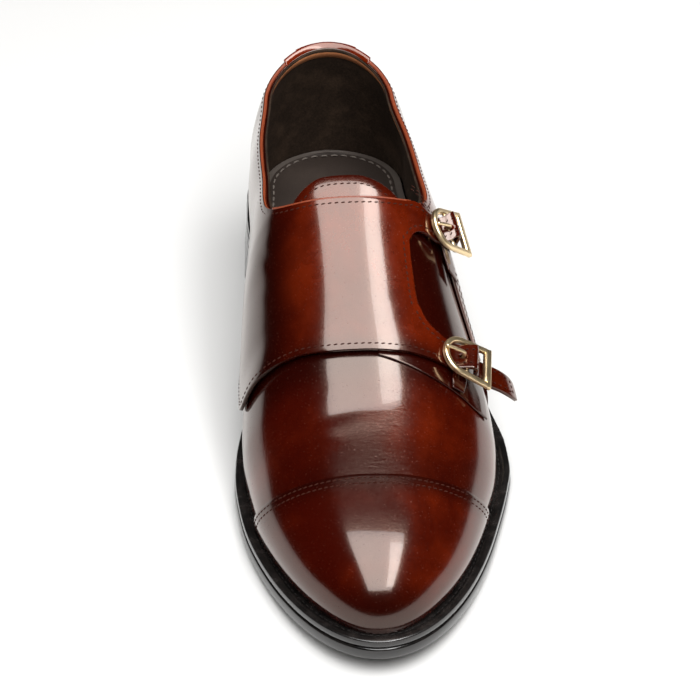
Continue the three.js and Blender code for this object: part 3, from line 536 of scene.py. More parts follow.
def burnishedLeather(name, warmth, crinkleShare, scuff=0.0):
    recipe = Recipe(name, IOR=1.5, Coat_Roughness=0.04, Specular_IOR_Level=0.6, Specular_Tint=shine["tint"],
                    Coat_Tint=shine["coatTint"])
    cloud = recipe.noise(17, 4, 0.55, distortion=0.6)
    patch = recipe.noise(62, 5, 0.6, stretch=(1, 0.55, 1))
    fine = recipe.noise(420, 4, 0.6)
    dark = recipe.attribute("burnishAndShade")
    warm = (cloud * 0.75 + patch * 0.35 + fine * 0.12 + (warmth - 0.62)).band(0.28, 0.82)
    warm = warm * (1 - dark)
    glow = recipe.blend(warm, shine["red"], shine["amber"])
    # the darkening attribute, burnish and painted shade, mixes the colour towards the deep colour
    depth = (dark * 0.9 + (1 - cloud) * 0.35 - 0.18).math("MAXIMUM", 0.0).math("MINIMUM", 1.0)
    colour = recipe.blend(depth, glow, shine["deep"])
    fold = recipe.noise(230, 3, 0.55, stretch=(0.55, 1.7, 1.2), distortion=1.4)
    where = recipe.noise(26, 2, 0.5).band(0.45, 0.72)
    crease = fold * where * crinkleShare
    grain = recipe.noise(900, 3, 0.6)
    pores = recipe.node("ShaderNodeTexVoronoi", {}, {"Vector": recipe.place, "Scale": 1900.0}, "Distance")
    normal = recipe.bump(crease, shine["crinkle"])
    normal = recipe.bump(grain, shine["grain"], 0.5, normal)
    normal = recipe.bump(pores, shine["pore"], 0.35, normal)
    dust = recipe.noise(1500, 1, 0.3).band(0.72, 0.76)
    rough = shine["roughness"] + fine * 0.09 + crease * 0.1 + dust * 0.25 + scuff * patch.band(0.5, 0.8)
    return recipe.feed(Base_Color=colour, Roughness=rough, Normal=normal, Coat_Weight=0.55 - crease * 0.3)


def cutLeather(name, colour, dark):
    recipe = Recipe(name, IOR=1.45)
    fibre = recipe.noise(700, 4, 0.65, stretch=(1, 1, 2.5))
    tone = recipe.blend(fibre, colour, dark)
    return recipe.feed(Base_Color=tone, Roughness=0.32 + fibre * 0.2, Normal=recipe.bump(fibre, 0.00006))


def napLeather(name, colour, light):    # the soft lining
    recipe = Recipe(name, IOR=1.4, Specular_IOR_Level=0.1, Sheen_Weight=0.06, Sheen_Roughness=0.5,
                    Sheen_Tint=(0.35, 0.25, 0.2, 1))
    nap = recipe.noise(1100, 5, 0.75)
    rub = recipe.noise(70, 5, 0.65).band(0.42, 0.72)
    tone = recipe.blend((nap - 0.3) * 0.9 + rub * 0.4, colour, light)
    return recipe.feed(Base_Color=tone, Roughness=0.82 + nap * 0.15, Normal=recipe.bump(nap, 0.00018, 0.8))


def sockLeather(name, colour, light):
    recipe = Recipe(name, IOR=1.45, Specular_IOR_Level=0.3)
    grain = recipe.noise(650, 4, 0.6)
    rub = recipe.noise(38, 3, 0.55).band(0.42, 0.75)
    tone = recipe.blend(grain * 0.35 + rub * 0.4, colour, light)
    normal = recipe.bump(grain, 0.0001, 0.7)
    return recipe.feed(Base_Color=tone, Roughness=0.5 + grain * 0.25, Normal=normal)


def inkedEdge(name, roughness, streak):   # the blacked and waxed sole edge
    recipe = Recipe(name, IOR=1.5, Coat_Roughness=0.08)
    wipe = recipe.noise(160, 4, 0.6, stretch=(1, 1, streak))
    spot = recipe.noise(900, 2, 0.5)
    tone = recipe.blend(wipe.band(0.35, 0.8), (0.0045, 0.004, 0.0038, 1), (0.016, 0.013, 0.012, 1))
    normal = recipe.bump(wipe * 0.7 + spot * 0.3, 0.00006, 0.6)
    return recipe.feed(Base_Color=tone, Roughness=roughness + wipe * 0.12, Normal=normal,
                       Coat_Weight=0.6 - wipe * 0.2)


def treadLeather(name):                 # the underside of the sole
    recipe = Recipe(name, IOR=1.45)
    fibre = recipe.noise(520, 5, 0.65, stretch=(1, 0.5, 1))
    worn = recipe.noise(30, 3, 0.55)
    tone = recipe.blend(fibre * 0.6 + worn * 0.3, (0.012, 0.010, 0.009, 1), (0.035, 0.028, 0.022, 1))
    return recipe.feed(Base_Color=tone, Roughness=0.4 + fibre * 0.3, Normal=recipe.bump(fibre, 0.0001, 0.6))


def heelRubber(name):
    recipe = Recipe(name, IOR=1.5)
    speck = recipe.noise(800, 3, 0.6)
    tone = recipe.blend(speck, (0.008, 0.008, 0.008, 1), (0.022, 0.021, 0.02, 1))
    normal = recipe.bump(speck, 0.00008, 0.6)
    return recipe.feed(Base_Color=tone, Roughness=0.45 + speck * 0.3, Normal=normal)


def polishedGold(name):
    recipe = Recipe(name, IOR=1.5)
    wear = recipe.noise(240, 4, 0.6)
    smear = recipe.noise(60, 3, 0.5, stretch=(1, 3, 1))
    tone = recipe.blend(wear * 0.6 + smear * 0.3, (0.95, 0.76, 0.48, 1), (0.82, 0.61, 0.34, 1))
    rough = 0.22 + wear * 0.16 + smear * 0.08
    return recipe.feed(Base_Color=tone, Roughness=rough, Metallic=1.0 - wear * 0.04,
                       Normal=recipe.bump(wear, 0.00003, 0.5))


def waxedThread(name, colour, light):
    recipe = Recipe(name, IOR=1.45, Specular_IOR_Level=0.12)
    sockets = {"Vector": recipe.place, "Scale": 700.0, "Distortion": 2.0}
    twist = recipe.node("ShaderNodeTexWave", {}, sockets, "Fac")
    tone = recipe.blend(twist * 0.6, colour, light)
    normal = recipe.bump(twist, 0.00008, 0.7)
    return recipe.feed(Base_Color=tone, Roughness=0.6 + twist * 0.2, Normal=normal)


def studioFloor(name):
    recipe = Recipe(name, IOR=1.4, Specular_IOR_Level=0.25)
    grain = recipe.noise(14, 3, 0.5)
    tone = recipe.blend(grain * 0.3, (0.55, 0.547, 0.540, 1), (0.53, 0.527, 0.520, 1))
    return recipe.feed(Base_Color=tone, Roughness=0.55 + grain * 0.1)


vampLeather = burnishedLeather("vamp leather", 0.38, 0.5)
panelLeather = burnishedLeather("strap panel leather", 0.55, 0.55)
capLeather = burnishedLeather("toe cap leather", 0.40, 0.35)
quarterSkin = burnishedLeather("outer quarter leather", 0.50, 1.0)
collarSkin = burnishedLeather("collar strip leather", 0.80, 0.3)
# dark leather for the under flap and the buckle tabs; on the flap the darkness is painted shade
darkSkin = burnishedLeather("dark flap leather", 0.05, 0.5)
rawEdge = cutLeather("cut edge", (0.46, 0.105, 0.030, 1), (0.26, 0.052, 0.015, 1))
darkEdge = cutLeather("dark cut edge", (0.03, 0.012, 0.007, 1), (0.012, 0.006, 0.004, 1))
foldSkin = burnishedLeather("folded heel strip leather", 0.62, 0.2)
rolledEdge = cutLeather("rolled collar edge", (0.22, 0.045, 0.014, 1), (0.11, 0.018, 0.006, 1))
tanBand = napLeather("tan band inside the collar", (0.20, 0.070, 0.028, 1), (0.38, 0.155, 0.065, 1))
liningSkin = napLeather("dark lining", (0.0085, 0.0055, 0.0038, 1), (0.055, 0.034, 0.022, 1))
sockSkin = sockLeather("insole sock", (0.015, 0.0095, 0.007, 1), (0.036, 0.025, 0.019, 1))
sockRim = sockLeather("insole rim", (0.048, 0.038, 0.032, 1), (0.095, 0.078, 0.066, 1))
soleEdge = inkedEdge("inked sole edge", 0.14, 6)
weltSkin = inkedEdge("inked welt", 0.2, 1)
heelSkin = inkedEdge("inked heel lifts", 0.2, 8)
soleUnder = treadLeather("sole underside")
rubberSkin = heelRubber("heel rubber")
gold = polishedGold("polished gold")
redThread = waxedThread("dark red thread", (0.016, 0.0045, 0.003, 1), (0.060, 0.016, 0.009, 1))
blackThread = waxedThread("black thread", (0.006, 0.005, 0.005, 1), (0.030, 0.026, 0.024, 1))
paleThread = waxedThread("pale insole thread", (0.085, 0.070, 0.060, 1), (0.17, 0.145, 0.125, 1))
floorPaper = studioFloor("pale floor")
print("materials ready")

length = shoe["length"]


def crowdedEnds(count, share=0.85):     # places along the shoe that crowd at heel and toe
    t = np.linspace(0, 1, count + 1)
    return mix(form["start"], form["end"], mix(t, (1 - np.cos(t * math.pi)) / 2, share))


def onSurface(lift):
    return lambda place, around: lift + 0 * place


# Soft troughs of the worn leather: place, around, half width, half run, depth and turn.
creaseTable = {
    "at":     (0.655, 0.690, 0.722, 0.668, 0.480, 0.505, 0.450, 0.520),
    "around": (0.60, 0.56, 0.63, 0.34, 0.66, 0.70, 0.73, 0.36),
    "width":  (0.0045, 0.0050, 0.0040, 0.0045, 0.0030, 0.0028, 0.0030, 0.0035),
    "run":    (0.022, 0.026, 0.018, 0.020, 0.018, 0.016, 0.020, 0.014),
    "depth":  (0.00022, 0.00025, 0.00016, 0.00020, 0.00016, 0.00015, 0.00013, 0.00016),
    "turn":   (12, -6, 18, -14, 40, 32, 48, -30),
}

creaseForm = {"girth": 0.16, "lip": 0.6}


def creaseLift(place, around):
    total = 0 * place
    for i, turn in enumerate(creaseTable["turn"]):
        u = place - creaseTable["at"][i] * length
        v = (around - creaseTable["around"][i]) * creaseForm["girth"]
        c, s = math.cos(math.radians(turn)), math.sin(math.radians(turn))
        across, run = (u * c + v * s) / creaseTable["width"][i], (v * c - u * s) / creaseTable["run"][i]
        trough = (1 - creaseForm["lip"] * across ** 2) * np.exp(-across ** 2)
        total = total - creaseTable["depth"][i] * trough * np.maximum(0, 1 - run ** 2) ** 2
    return total


def fading(distance, reach):            # 1 at an edge, 0 from reach away
    return 1 - smooth(distance / reach)


def towardFoot(around):                 # how far round a point is from the sole
    return np.minimum(around, 1 - around)


# How dark each leather is made beside its edges and at its foot: share and reach. The edges are burnished;
# towards the sole the darkening is burnish and painted shade, the under flap's darkening is painted shade,
# and the buckle tabs are evenly darker.
burnishAndShadeShares = {
    "edge": (0.55, 0.009), "quarterEdge": (0.5, 0.009), "foot": (0.8, 0.10), "upperFoot": (0.75, 0.11),
    "quarterFoot": (0.8, 0.09), "capSeam": (0.75, 0.012), "tongue": (0.3, 0.006), "flap": 0.5, "tab": 0.4,
}


def darkAt(kind, distance):
    share, reach = burnishAndShadeShares[kind]
    return share * fading(distance, reach)


# The upper itself, one layer of leather and one of lining
upperLook = {
    "columns": 190, "rows": 110, "outerLayer": 0.0008, "liningColumns": 150, "liningRows": 90,
    "liningGap": 0.00005, "capShade": 0.44, "capAt": 0.70, "capReach": 0.10, "strapShade": 0.68,
    "strapAt": 0.615, "strapReach": 0.045,
}


def makeUpper():
    around, place = np.meshgrid(np.linspace(0, 1, upperLook["rows"] + 1), crowdedEnds(upperLook["columns"]),
                                indexing="ij")
    u, layer = upperLook, upperLook["outerLayer"]

    # The vamp is darker towards the sole, burnish with painted shade, and towards the toe cap; in front of
    # and under the strap panel's raised front edge the darkening is painted shade.
    def shade(place, around):
        foot = darkAt("upperFoot", towardFoot(around))
        at = place / length
        cap = u["capShade"] * smooth((at - u["capAt"]) / u["capReach"])
        strap = u["strapShade"] * fading(at - u["strapAt"], u["strapReach"])
        return np.maximum(foot, np.maximum(cap, strap))

    def lift(place, around):
        return -layer + creaseLift(place, around)

    outer = sheetPiece("vamp_and_counter", place, around, lift, layer, burnishAndShade=shade, rim=0)
    finishPiece(outer, [vampLeather, rawEdge], ["upper"])
    around, place = np.meshgrid(np.linspace(0, 1, upperLook["liningRows"] + 1),
                                crowdedEnds(upperLook["liningColumns"]), indexing="ij")
    lining = sheetPiece("lining", place, around, onSurface(-shoe["wall"]), layer - u["liningGap"], rim=0)
    finishPiece(lining, [liningSkin, liningSkin])


# The toe cap, with its curved seam
cap = {
    "seam": 0.241, "curve": 0.012, "skew": 0.002, "power": 2.2, "leather": 0.0011, "rows": 110,
    "columns": 76, "tipShade": 0.75, "tipAt": 0.93, "tipReach": 0.05,
}


def capSeam(around):
    side = 1 - 2 * around
    return cap["seam"] - cap["curve"] * np.abs(side) ** cap["power"] + cap["skew"] * side


def makeToeCap():
    spread = np.sin(np.linspace(0, 1, cap["columns"] + 1) * math.pi / 2)
    around = np.linspace(0, 1, cap["rows"] + 1)[:, None] + 0 * spread
    place = mix(capSeam(around), form["end"], spread)

    def shade(place, around):
        seam = darkAt("capSeam", place - capSeam(around))
        foot = darkAt("foot", towardFoot(around))
        tip = cap["tipShade"] * smooth((place / length - cap["tipAt"]) / cap["tipReach"])
        return np.maximum(np.maximum(seam, foot), tip)

    piece = sheetPiece("toe_cap_leather", place, around, onSurface(shoe["sheetGap"]), cap["leather"],
                       burnishAndShade=shade, trimmed=False)
    finishPiece(piece, [capLeather, darkEdge], ["toe_cap"])


def panelWall(place, around):
    thicker = smooth((place / length - panel["thickenAt"]) / panel["thickenReach"])
    return mix(panel["thin"], panel["thick"], thicker)


def rootBow(share):                     # the soft curve at the root of the cut between the straps
    return panel["bow"] * (1 - np.abs(2 * share - 1) ** panel["bowPower"])


def makePanel():
    root = panel["root"]
    over = np.linspace(1, root, panel["rows"] + 1)
    out = np.linspace(root, straps["lower"]["end"], panel["strapRows"] + 1)[1:]
    around = np.concatenate([over, out])[:, None]
    edges = {name: edgePlace(panelTable, name, around) for name in panelTable if name != "around"}
    edges["rear"] = form["seamBack"] * length + 0 * around
    bands = (("rear", "throat", panel["quarterColumns"]), ("throat", "slitRear", panel["strapColumns"]),
             ("slitRear", "slitFront", panel["slitColumns"]), ("slitFront", "front", panel["strapColumns"]))
    columns = []
    for name, end, count in bands:
        t = np.linspace(0, 1, count + 1)[(0 if name == "rear" else 1):]
        t = t ** panel["crowding"] if name == "rear" else t
        columns.append(mix(edges[name], edges[end], t))
    place = np.concatenate(columns, axis=1)
    around = around + 0 * place
    quarter = panel["quarterColumns"]
    rearStrap = quarter + panel["strapColumns"]
    slit = rearStrap + panel["slitColumns"]
    t = np.linspace(0, 1, panel["slitColumns"] + 1)
    bow = rootBow(t) * np.clip(1 - (around[:, :1] - root) / panel["bowReach"], 0, 1)
    around[:, rearStrap:slit + 1] += np.where(around[:, :1] >= root - 1e-9, bow, 0)
    rows, cells = place.shape[0] - 1, place.shape[1] - 1
    middle = ((around[:-1, 0] + around[1:, 0]) / 2)[:, None] + np.zeros((rows, cells))
    column = np.arange(cells)[None, :] + np.zeros((rows, 1))
    kept = np.ones((rows, cells), bool)
    kept &= ~((column < quarter) & (middle < panel["quarterRoot"]))
    kept &= ~((column >= rearStrap) & (column < slit) & (middle < root))
    kept &= ~((column < slit) & (middle < straps["upper"]["end"]))

    def shade(place, around):
        edge = darkAt("edge", edgePlace(panelTable, "front", around) - place)
        foot = darkAt("foot", towardFoot(around))
        inner = panel["innerShade"] * smooth((around - panel["innerAt"]) / panel["innerReach"])
        strap = panel["strapShade"] * smooth((panel["strapAt"] - around) / panel["strapReach"])
        return np.maximum(np.maximum(edge, foot), np.maximum(inner, strap))

    def lift(place, around):
        return panelLift(place, around) + creaseLift(place, around)

    piece = sheetPiece("strap_panel_leather", place, around, lift, panelWall, kept, shade)
    for seat in seats.values():
        pierce(piece, seat, -buckle["centreBar"] - shoe["gap"] - prongForm["radius"] - prongForm["lean"])
    finishPiece(piece, [panelLeather, rawEdge], ["strap_panel"])


punchForm = {"radius": 0.00125, "depth": 0.012}


def pierce(piece, seat, reach):         # a punched strap hole
    deselectAll()
    bpy.ops.mesh.primitive_cylinder_add(vertices=20, radius=punchForm["radius"], depth=punchForm["depth"])
    punch = bpy.context.active_object
    punch.data.transform(seat @ Matrix.Translation((reach, 0, 0)))
    punch.data.materials.append(darkEdge)
    applyModifier(piece, "BOOLEAN", object=punch, operation="DIFFERENCE", solver="EXACT")
    bpy.data.objects.remove(punch)


outerQuarter = {"leather": 0.0012, "top": 0.42, "crowding": 1.5, "rows": 64, "columns": 84}


def makeOuterQuarter():
    t = np.linspace(0, 1, outerQuarter["columns"] + 1) ** outerQuarter["crowding"]
    around = np.linspace(0, outerQuarter["top"], outerQuarter["rows"] + 1)[:, None] + 0 * t
    front = edgePlace(quarterTable, "front", around)
    place = mix(form["seamBack"] * length, front, t)

    def shade(place, around):
        edge = darkAt("quarterEdge", edgePlace(quarterTable, "front", around) - place)
        return np.maximum(edge, darkAt("quarterFoot", towardFoot(around)))

    piece = sheetPiece("outer_quarter_leather", place, around, onSurface(shoe["sheetGap"]),
                       outerQuarter["leather"], burnishAndShade=shade)
    finishPiece(piece, [quarterSkin, rawEdge], ["outer_quarter"])


backstay = {"width": 0.013, "cap": 0.036, "start": 0.19, "flare": 0.05, "top": 0.31, "leather": 0.0008,
            "edge": 0.00025, "rows": 90, "columns": 41}


def alongAtWidth(half):
    roundStart = form["heelRound"] * length
    full = lastTable["outer"][0] * shoe["ballWidth"]
    return roundStart - (roundStart - form["start"]) * np.sqrt(1 - (half / full) ** 2)


def backstayHalf(around):
    wider = smooth((around - backstay["start"]) / backstay["flare"])
    return mix(backstay["width"], backstay["cap"], wider) / 2


def makeBackstay():
    up = np.linspace(0, backstay["top"], backstay["rows"])[:, None]
    t = np.linspace(-1, 1, backstay["columns"])[None, :]
    place = alongAtWidth(np.abs(t) * backstayHalf(up))
    around = np.where(t < 0, 1 - up, up + 0 * t)
    lift = 3 * shoe["sheetGap"] + outerQuarter["leather"]
    piece = sheetPiece("backstay_strip", place, around, onSurface(lift), backstay["leather"],
                       rim=backstay["edge"])
    finishPiece(piece, [collarSkin, rawEdge], ["backstay"])


tongue = {"leather": 0.0018, "gap": 0.0007, "dome": 0.0004, "fold": 0.006, "raised": 0.0012, "free": 0.010,
          "stitchLift": 0.0007, "from": 0.26, "to": 0.74, "thin": 0.0004, "rows": 70, "columns": 50}


def makeTongue():
    around = np.linspace(tongue["from"], tongue["to"], tongue["rows"] + 1)[:, None]
    t = np.linspace(0, 1, tongue["columns"] + 1)[None, :]
    rear, front = edgePlace(tongueTable, "rear", around), edgePlace(tongueTable, "front", around)
    place = mix(rear, front, t)
    around = around + 0 * place

    def lift(place, around):
        rear = edgePlace(tongueTable, "rear", around)
        dome = tongue["dome"] * smooth((place - rear) / tongue["fold"])
        raised = tongue["raised"] * fading(place - rear, tongue["free"])
        return -shoe["wall"] - tongue["gap"] - tongue["leather"] + dome + raised

    def shade(place, around):
        return darkAt("tongue", place - edgePlace(tongueTable, "rear", around))

    piece = sheetPiece("tongue_leather", place, around, lift, tongue["leather"] - tongue["thin"],
                       burnishAndShade=shade, trimmed=False)
    finishPiece(piece, [panelLeather, rawEdge], ["tongue"])


flap = {"leather": 0.0008, "from": 0.15, "to": 0.46, "rows": 56, "columns": 26}


def makeUnderFlap():
    around = np.linspace(flap["from"], flap["to"], flap["rows"])[:, None]
    t = np.linspace(0, 1, flap["columns"])[None, :]
    rear, front = edgePlace(flapTable, "rear", around), edgePlace(flapTable, "front", around)
    place = mix(rear, front, t)
    # The flap's dark leather and even darkening are painted shade beneath the raised edge of the lower
    # strap.
    piece = sheetPiece("under_flap_leather", place, around + 0 * place, onSurface(shoe["gap"]),
                       flap["leather"], burnishAndShade=lambda p, a: burnishAndShadeShares["flap"] + 0 * p, trimmed=False)
    finishPiece(piece, [darkSkin, darkEdge], ["under_flap"])


makeUpper()
makeToeCap()
makePanel()
makeOuterQuarter()
makeBackstay()
makeTongue()
makeUnderFlap()
print("leather formed")


# The sole, from loops round its outline
def soleLoop(inset, heightAt, count=90):
    t = np.linspace(0, 1, count + 1)
    along = mix(inset, length - inset, (1 - np.cos(t * math.pi)) / 2)
    sides = []
    for column, sign in (("outer", 1), ("inner", -1)):
        half = read(soleTable, "at", column, along / length) * shoe["soleWidth"] - inset
        width = half * endRound(along, inset, length - inset, form["soleToe"])
        sides.append(place3(sign * width, along, heightAt(along)))
    return np.concatenate([sides[0], sides[1][-2:0:-1]])


def heelLoop(spread, heightAt, count=44):
    t = np.linspace(0, 1, count + 1)
    along = mix(-spread, shoe["heelLength"], 1 - np.cos(t * math.pi / 2))
    sides = []
    for column, sign in (("outer", 1), ("inner", -1)):
        half = read(soleTable, "at", column, along / length) * shoe["soleWidth"] + spread
        width = half * endRound(along, -spread, length, form["soleToe"])
        sides.append(place3(sign * width, along, heightAt(along)))
    return np.concatenate([sides[0], sides[1][:0:-1]])


def footLoop(lift, heightAt, count=90):
    t = np.linspace(0, 1, count + 1)
    place = mix(form["start"], form["end"], (1 - np.cos(t * math.pi)) / 2)
    sides = []
    for around in (0.0, 1.0):
        points = overLast(place, around + 0 * place, lift + 0 * place)
        points[:, 2] = heightAt(length / 2 + shift[1] - points[:, 1])
        sides.append(points)
    return np.concatenate([sides[0], sides[1][-2:0:-1]])


def loftPiece(name, loops, ring=False):
    size, count = len(loops[0]), len(loops)
    faces = []
    for k in range(count if ring else count - 1):
        low, high = k * size, ((k + 1) % count) * size
        faces += [(low + j, low + (j + 1) % size, high + (j + 1) % size, high + j) for j in range(size)]
    if not ring:
        half = size // 2
        for base, turned in ((0, True), ((count - 1) * size, False)):
            for j in range(half):
                left, right = (size - j) % size, (size - j - 1) % size
                quad = [base + j, base + j + 1, base + right, base + left]
                quad = [v for i, v in enumerate(quad) if v not in quad[:i]]
                if len(quad) > 2:
                    faces.append(tuple(quad[::-1] if turned else quad))
    piece = meshPiece(name, np.concatenate(loops), faces)
    turnOutward(piece)
    return piece


sole = {
    "round": 0.0011, "bulge": 0.0004, "bulgeInset": 0.0002, "edgeInset": 0.0003, "groove": 0.00045,
    "grooveHigh": 0.0005, "grooveTop": 0.00005, "grooveLip": 0.4, "grooveRoot": 1.6,
}


def makeSole():
    thick, rounding = shoe["outsole"], sole["round"]
    loops = []
    for share in (0.0, 0.35, 0.7, 1.0):           # the rounded lower corner
        angle = share * math.pi / 2
        loops.append(soleLoop(rounding * (1 - math.sin(angle)),
                              lambda s, a=angle: soleBottom(s) + rounding * (1 - math.cos(a))))
    for share in (0.3, 0.55, 0.8):
        bulge = -sole["bulge"] * math.sin(share * math.pi)
        loops.append(soleLoop(bulge + sole["bulgeInset"], lambda s, k=share: soleBottom(s) + thick * k))
    loops.append(soleLoop(sole["groove"] * sole["grooveLip"], lambda s: soleTop(s) - sole["grooveHigh"]))
    loops.append(soleLoop(sole["groove"] * sole["grooveRoot"], lambda s: soleTop(s) - sole["grooveTop"]))
    piece = loftPiece("sole_leather", loops)
    finishPiece(piece, [soleEdge, soleUnder], ["outsole"], angle=50)
    for face in piece.data.polygons:
        if face.normal.z < -0.9:
            face.material_index = 1


weltBand = {
    "chamfer": 0.0007, "channel": 0.0036, "deep": 0.00035, "foot": 0.0002, "lip": 0.0006, "bulge": 0.00015,
    "bulgeAt": 0.55, "seam": 0.0008, "sunk": 0.0002, "channelRise": 0.0005, "channelFall": 0.0011,
    "channelEnd": 0.0016,
}


def makeWelt():
    inset, chamfer, foot = sole["edgeInset"], weltBand["chamfer"], shoe["wall"] + weltBand["foot"]
    channel, deep = inset + weltBand["channel"], weltBand["deep"]

    def at(drop):
        return lambda s: weltTop(s) - drop

    lip, bulge = shoe["welt"] - weltBand["lip"], inset - weltBand["bulge"]
    loops = [soleLoop(inset + sole["groove"], at(shoe["welt"])), soleLoop(inset, at(lip))]
    loops += [soleLoop(bulge, at(shoe["welt"] * weltBand["bulgeAt"])), soleLoop(inset, at(chamfer))]
    for share in (0.33, 0.66, 1.0):
        angle = share * math.pi / 2
        loops.append(soleLoop(inset + chamfer * (1 - math.cos(angle)),
                              lambda s, a=angle: weltTop(s) - chamfer * (1 - math.sin(a))))
    loops.append(soleLoop(channel, at(0.0)))            # the stitch channel
    loops.append(soleLoop(channel + weltBand["channelRise"], at(deep)))
    loops.append(soleLoop(channel + weltBand["channelFall"], at(deep)))
    loops.append(soleLoop(channel + weltBand["channelEnd"], at(0.0)))
    loops += [footLoop(-foot, at(0.0)), footLoop(-foot, at(shoe["welt"]))]
    piece = loftPiece("welt_leather_band", loops, ring=True)
    finishPiece(piece, [weltSkin], ["welt"], angle=45)


heelForm = {"round": 0.0008, "rim": 0.0004, "step": 0.0003, "groove": 0.00035, "edge": 0.07}


def makeHeel():
    flare, rounding, groove = shoe["heelFlare"], heelForm["round"], heelForm["groove"]
    loops = []
    for share in (0.0, 0.5, 1.0):
        angle = share * math.pi / 2
        loops.append(heelLoop(flare - rounding * (1 - math.sin(angle)),
                              lambda s, a=angle: 0 * s + rounding * (1 - math.cos(a))))
    loops.append(heelLoop(flare, lambda s: 0 * s + shoe["topLift"] - heelForm["rim"]))
    loops.append(heelLoop(flare - heelForm["step"], lambda s: 0 * s + shoe["topLift"]))
    lift = loftPiece("heel_top_lift_rubber", loops)
    finishPiece(lift, [rubberSkin], ["heel_top_lift"], angle=50)
    count = round((shoe["heelHeight"] - shoe["topLift"]) / shoe["liftThickness"])
    foot = shoe["topLift"] + shoe["gap"]

    def heightAt(share):
        return lambda s: mix(foot, soleBottom(s) - shoe["gap"], share)

    loops = []
    for i in range(count):
        low, high = i / count, (i + 1) / count
        edge = heelForm["edge"] / count
        loops.append(heelLoop(flare * (1 - low) - groove, heightAt(low)))
        loops.append(heelLoop(flare * (1 - low), heightAt(low + edge)))
        loops.append(heelLoop(flare * (1 - high), heightAt(high - edge)))
    loops.append(heelLoop(-groove, heightAt(1)))
    stack = loftPiece("heel_lifts", loops)
    finishPiece(stack, [heelSkin], ["heel_stack"], angle=32)


sock = {
    "thickness": 0.0008, "rim": 0.0034, "dish": 0.0006, "clear": 0.0026, "insole": 0.0024, "over": 0.0009,
    "edge": 0.0003, "columns": 110, "rows": 34,
}


def sockSurface(inset, lift):
    place = crowdedEnds(sock["columns"])
    edges = []
    for around in (0.0, 1.0):
        points = overLast(place, around + 0 * place, -(sock["clear"] + inset) + 0 * place)
        edges.append(points)
    across = np.linspace(0, 1, sock["rows"] + 1)[:, None, None]
    points = mix(edges[0][None], edges[1][None], across)
    along = length / 2 + shift[1] - points[..., 1]
    top = weltTop(along) + shoe["gap"] + sock["insole"] + shoe["gap"]
    hollow = sock["dish"] * np.sin(across[..., 0] * math.pi) ** 0.5
    points[..., 2] = top + lift - hollow + sock["dish"]
    return points


def sockPiece(name, inset, lift, material, replaced):
    points = sockSurface(inset, lift)
    rows, columns = points.shape[:2]
    index = np.arange(rows * columns).reshape(rows, columns)
    quads = np.stack([index[:-1, :-1], index[:-1, 1:], index[1:, 1:], index[1:, :-1]], -1).reshape(-1, 4)
    piece = meshPiece(name, points.reshape(-1, 3), [tuple(int(v) for v in q) for q in quads])
    turnOutward(piece)
    if sum(f.normal.z * f.area for f in piece.data.polygons) < 0:
        piece.data.flip_normals()
    applyModifier(piece, "SOLIDIFY", thickness=sock["thickness"], offset=-1)
    roundEdges(piece, sock["edge"])
    finishPiece(piece, [material], replaced)


makeSole()
makeWelt()
makeHeel()
sockPiece("insole_rim", 0.0, 0.0, sockRim, ["insole"])
sockPiece("insole_sock", sock["rim"], sock["over"], sockSkin, [])
print("sole, heel and insole made")


# Lines on the leather: edges, and lines a set distance inside them
def surfaceStep(place, around, lift):
    small = 1e-4
    here = overLast(place, around, lift)
    byPlace = (overLast(place + small, around, lift) - here) / small
    byAround = (overLast(place, around + small, lift) - here) / small
    normal = np.cross(byPlace, byAround)
    normal /= np.linalg.norm(normal, axis=-1, keepdims=True)
    centre = overLast(0.5 * length + 0 * place, 0.5 + 0 * around, form["core"] + 0 * place)
    outward = np.sign(np.sum(normal * (here - centre), axis=-1, keepdims=True))
    return here, byPlace, byAround, normal * outward


def dot(u, v):
    return np.sum(u * v, axis=-1)


def inset(line, distance, lift=0.001):     # moves a line to its right, seen from outside
    place, around = line
    here, byPlace, byAround, normal = surfaceStep(place, around, lift + 0 * place)
    tangent = np.gradient(here, axis=0)
    tangent /= np.linalg.norm(tangent, axis=-1, keepdims=True) + 1e-12
    side = np.cross(tangent, normal) * distance
    a, b, c = dot(byPlace, byPlace), dot(byPlace, byAround), dot(byAround, byAround)
    p, q = dot(byPlace, side), dot(byAround, side)
    det = a * c - b * b
    return place + (c * p - b * q) / det, around + (a * q - b * p) / det


def collarCrossing(place, low, high):   # around at which each place meets the collar; low is inside
    low, high = low + 0 * place, high + 0 * place
    for _ in range(22):
        middle = (low + high) / 2
        kept = belowCollar(place, middle, shoe["sheetGap"] + 0 * place) > 0
        low, high = np.where(kept, middle, low), np.where(kept, high, middle)
    return (low + high) / 2


def collarPlace(around, low, high):     # place at which each around meets the collar; high is inside
    low, high = low + 0 * around, high + 0 * around
    for _ in range(22):
        middle = (low + high) / 2
        kept = belowCollar(middle, around, shoe["sheetGap"] + 0 * around) > 0
        low, high = np.where(kept, low, middle), np.where(kept, middle, high)
    return (low + high) / 2


collarEnds = {"inner": 0.385, "outer": 0.392, "corner": 0.004, "throat": 0.335, "low": 0.36, "high": 0.425}
heelSpread = np.linspace(0, 1, 120) ** 2
innerPlace = mix(form["start"], collarEnds["inner"] * length, heelSpread)
innerAround = collarCrossing(innerPlace, 1.0, 0.5)
outerPlace = mix(form["start"], collarEnds["outer"] * length, heelSpread)[:0:-1]
outerAround = collarCrossing(outerPlace, 0.0, 0.5)
collarLine = (np.concatenate([outerPlace, innerPlace]), np.concatenate([outerAround, innerAround]))
throatAround = np.linspace(innerAround[-1] - collarEnds["corner"], collarEnds["throat"], 120)
throatPlace = collarPlace(throatAround, collarEnds["low"] * length, collarEnds["high"] * length)
throatLine = (throatPlace, throatAround)
print("collar lines found")


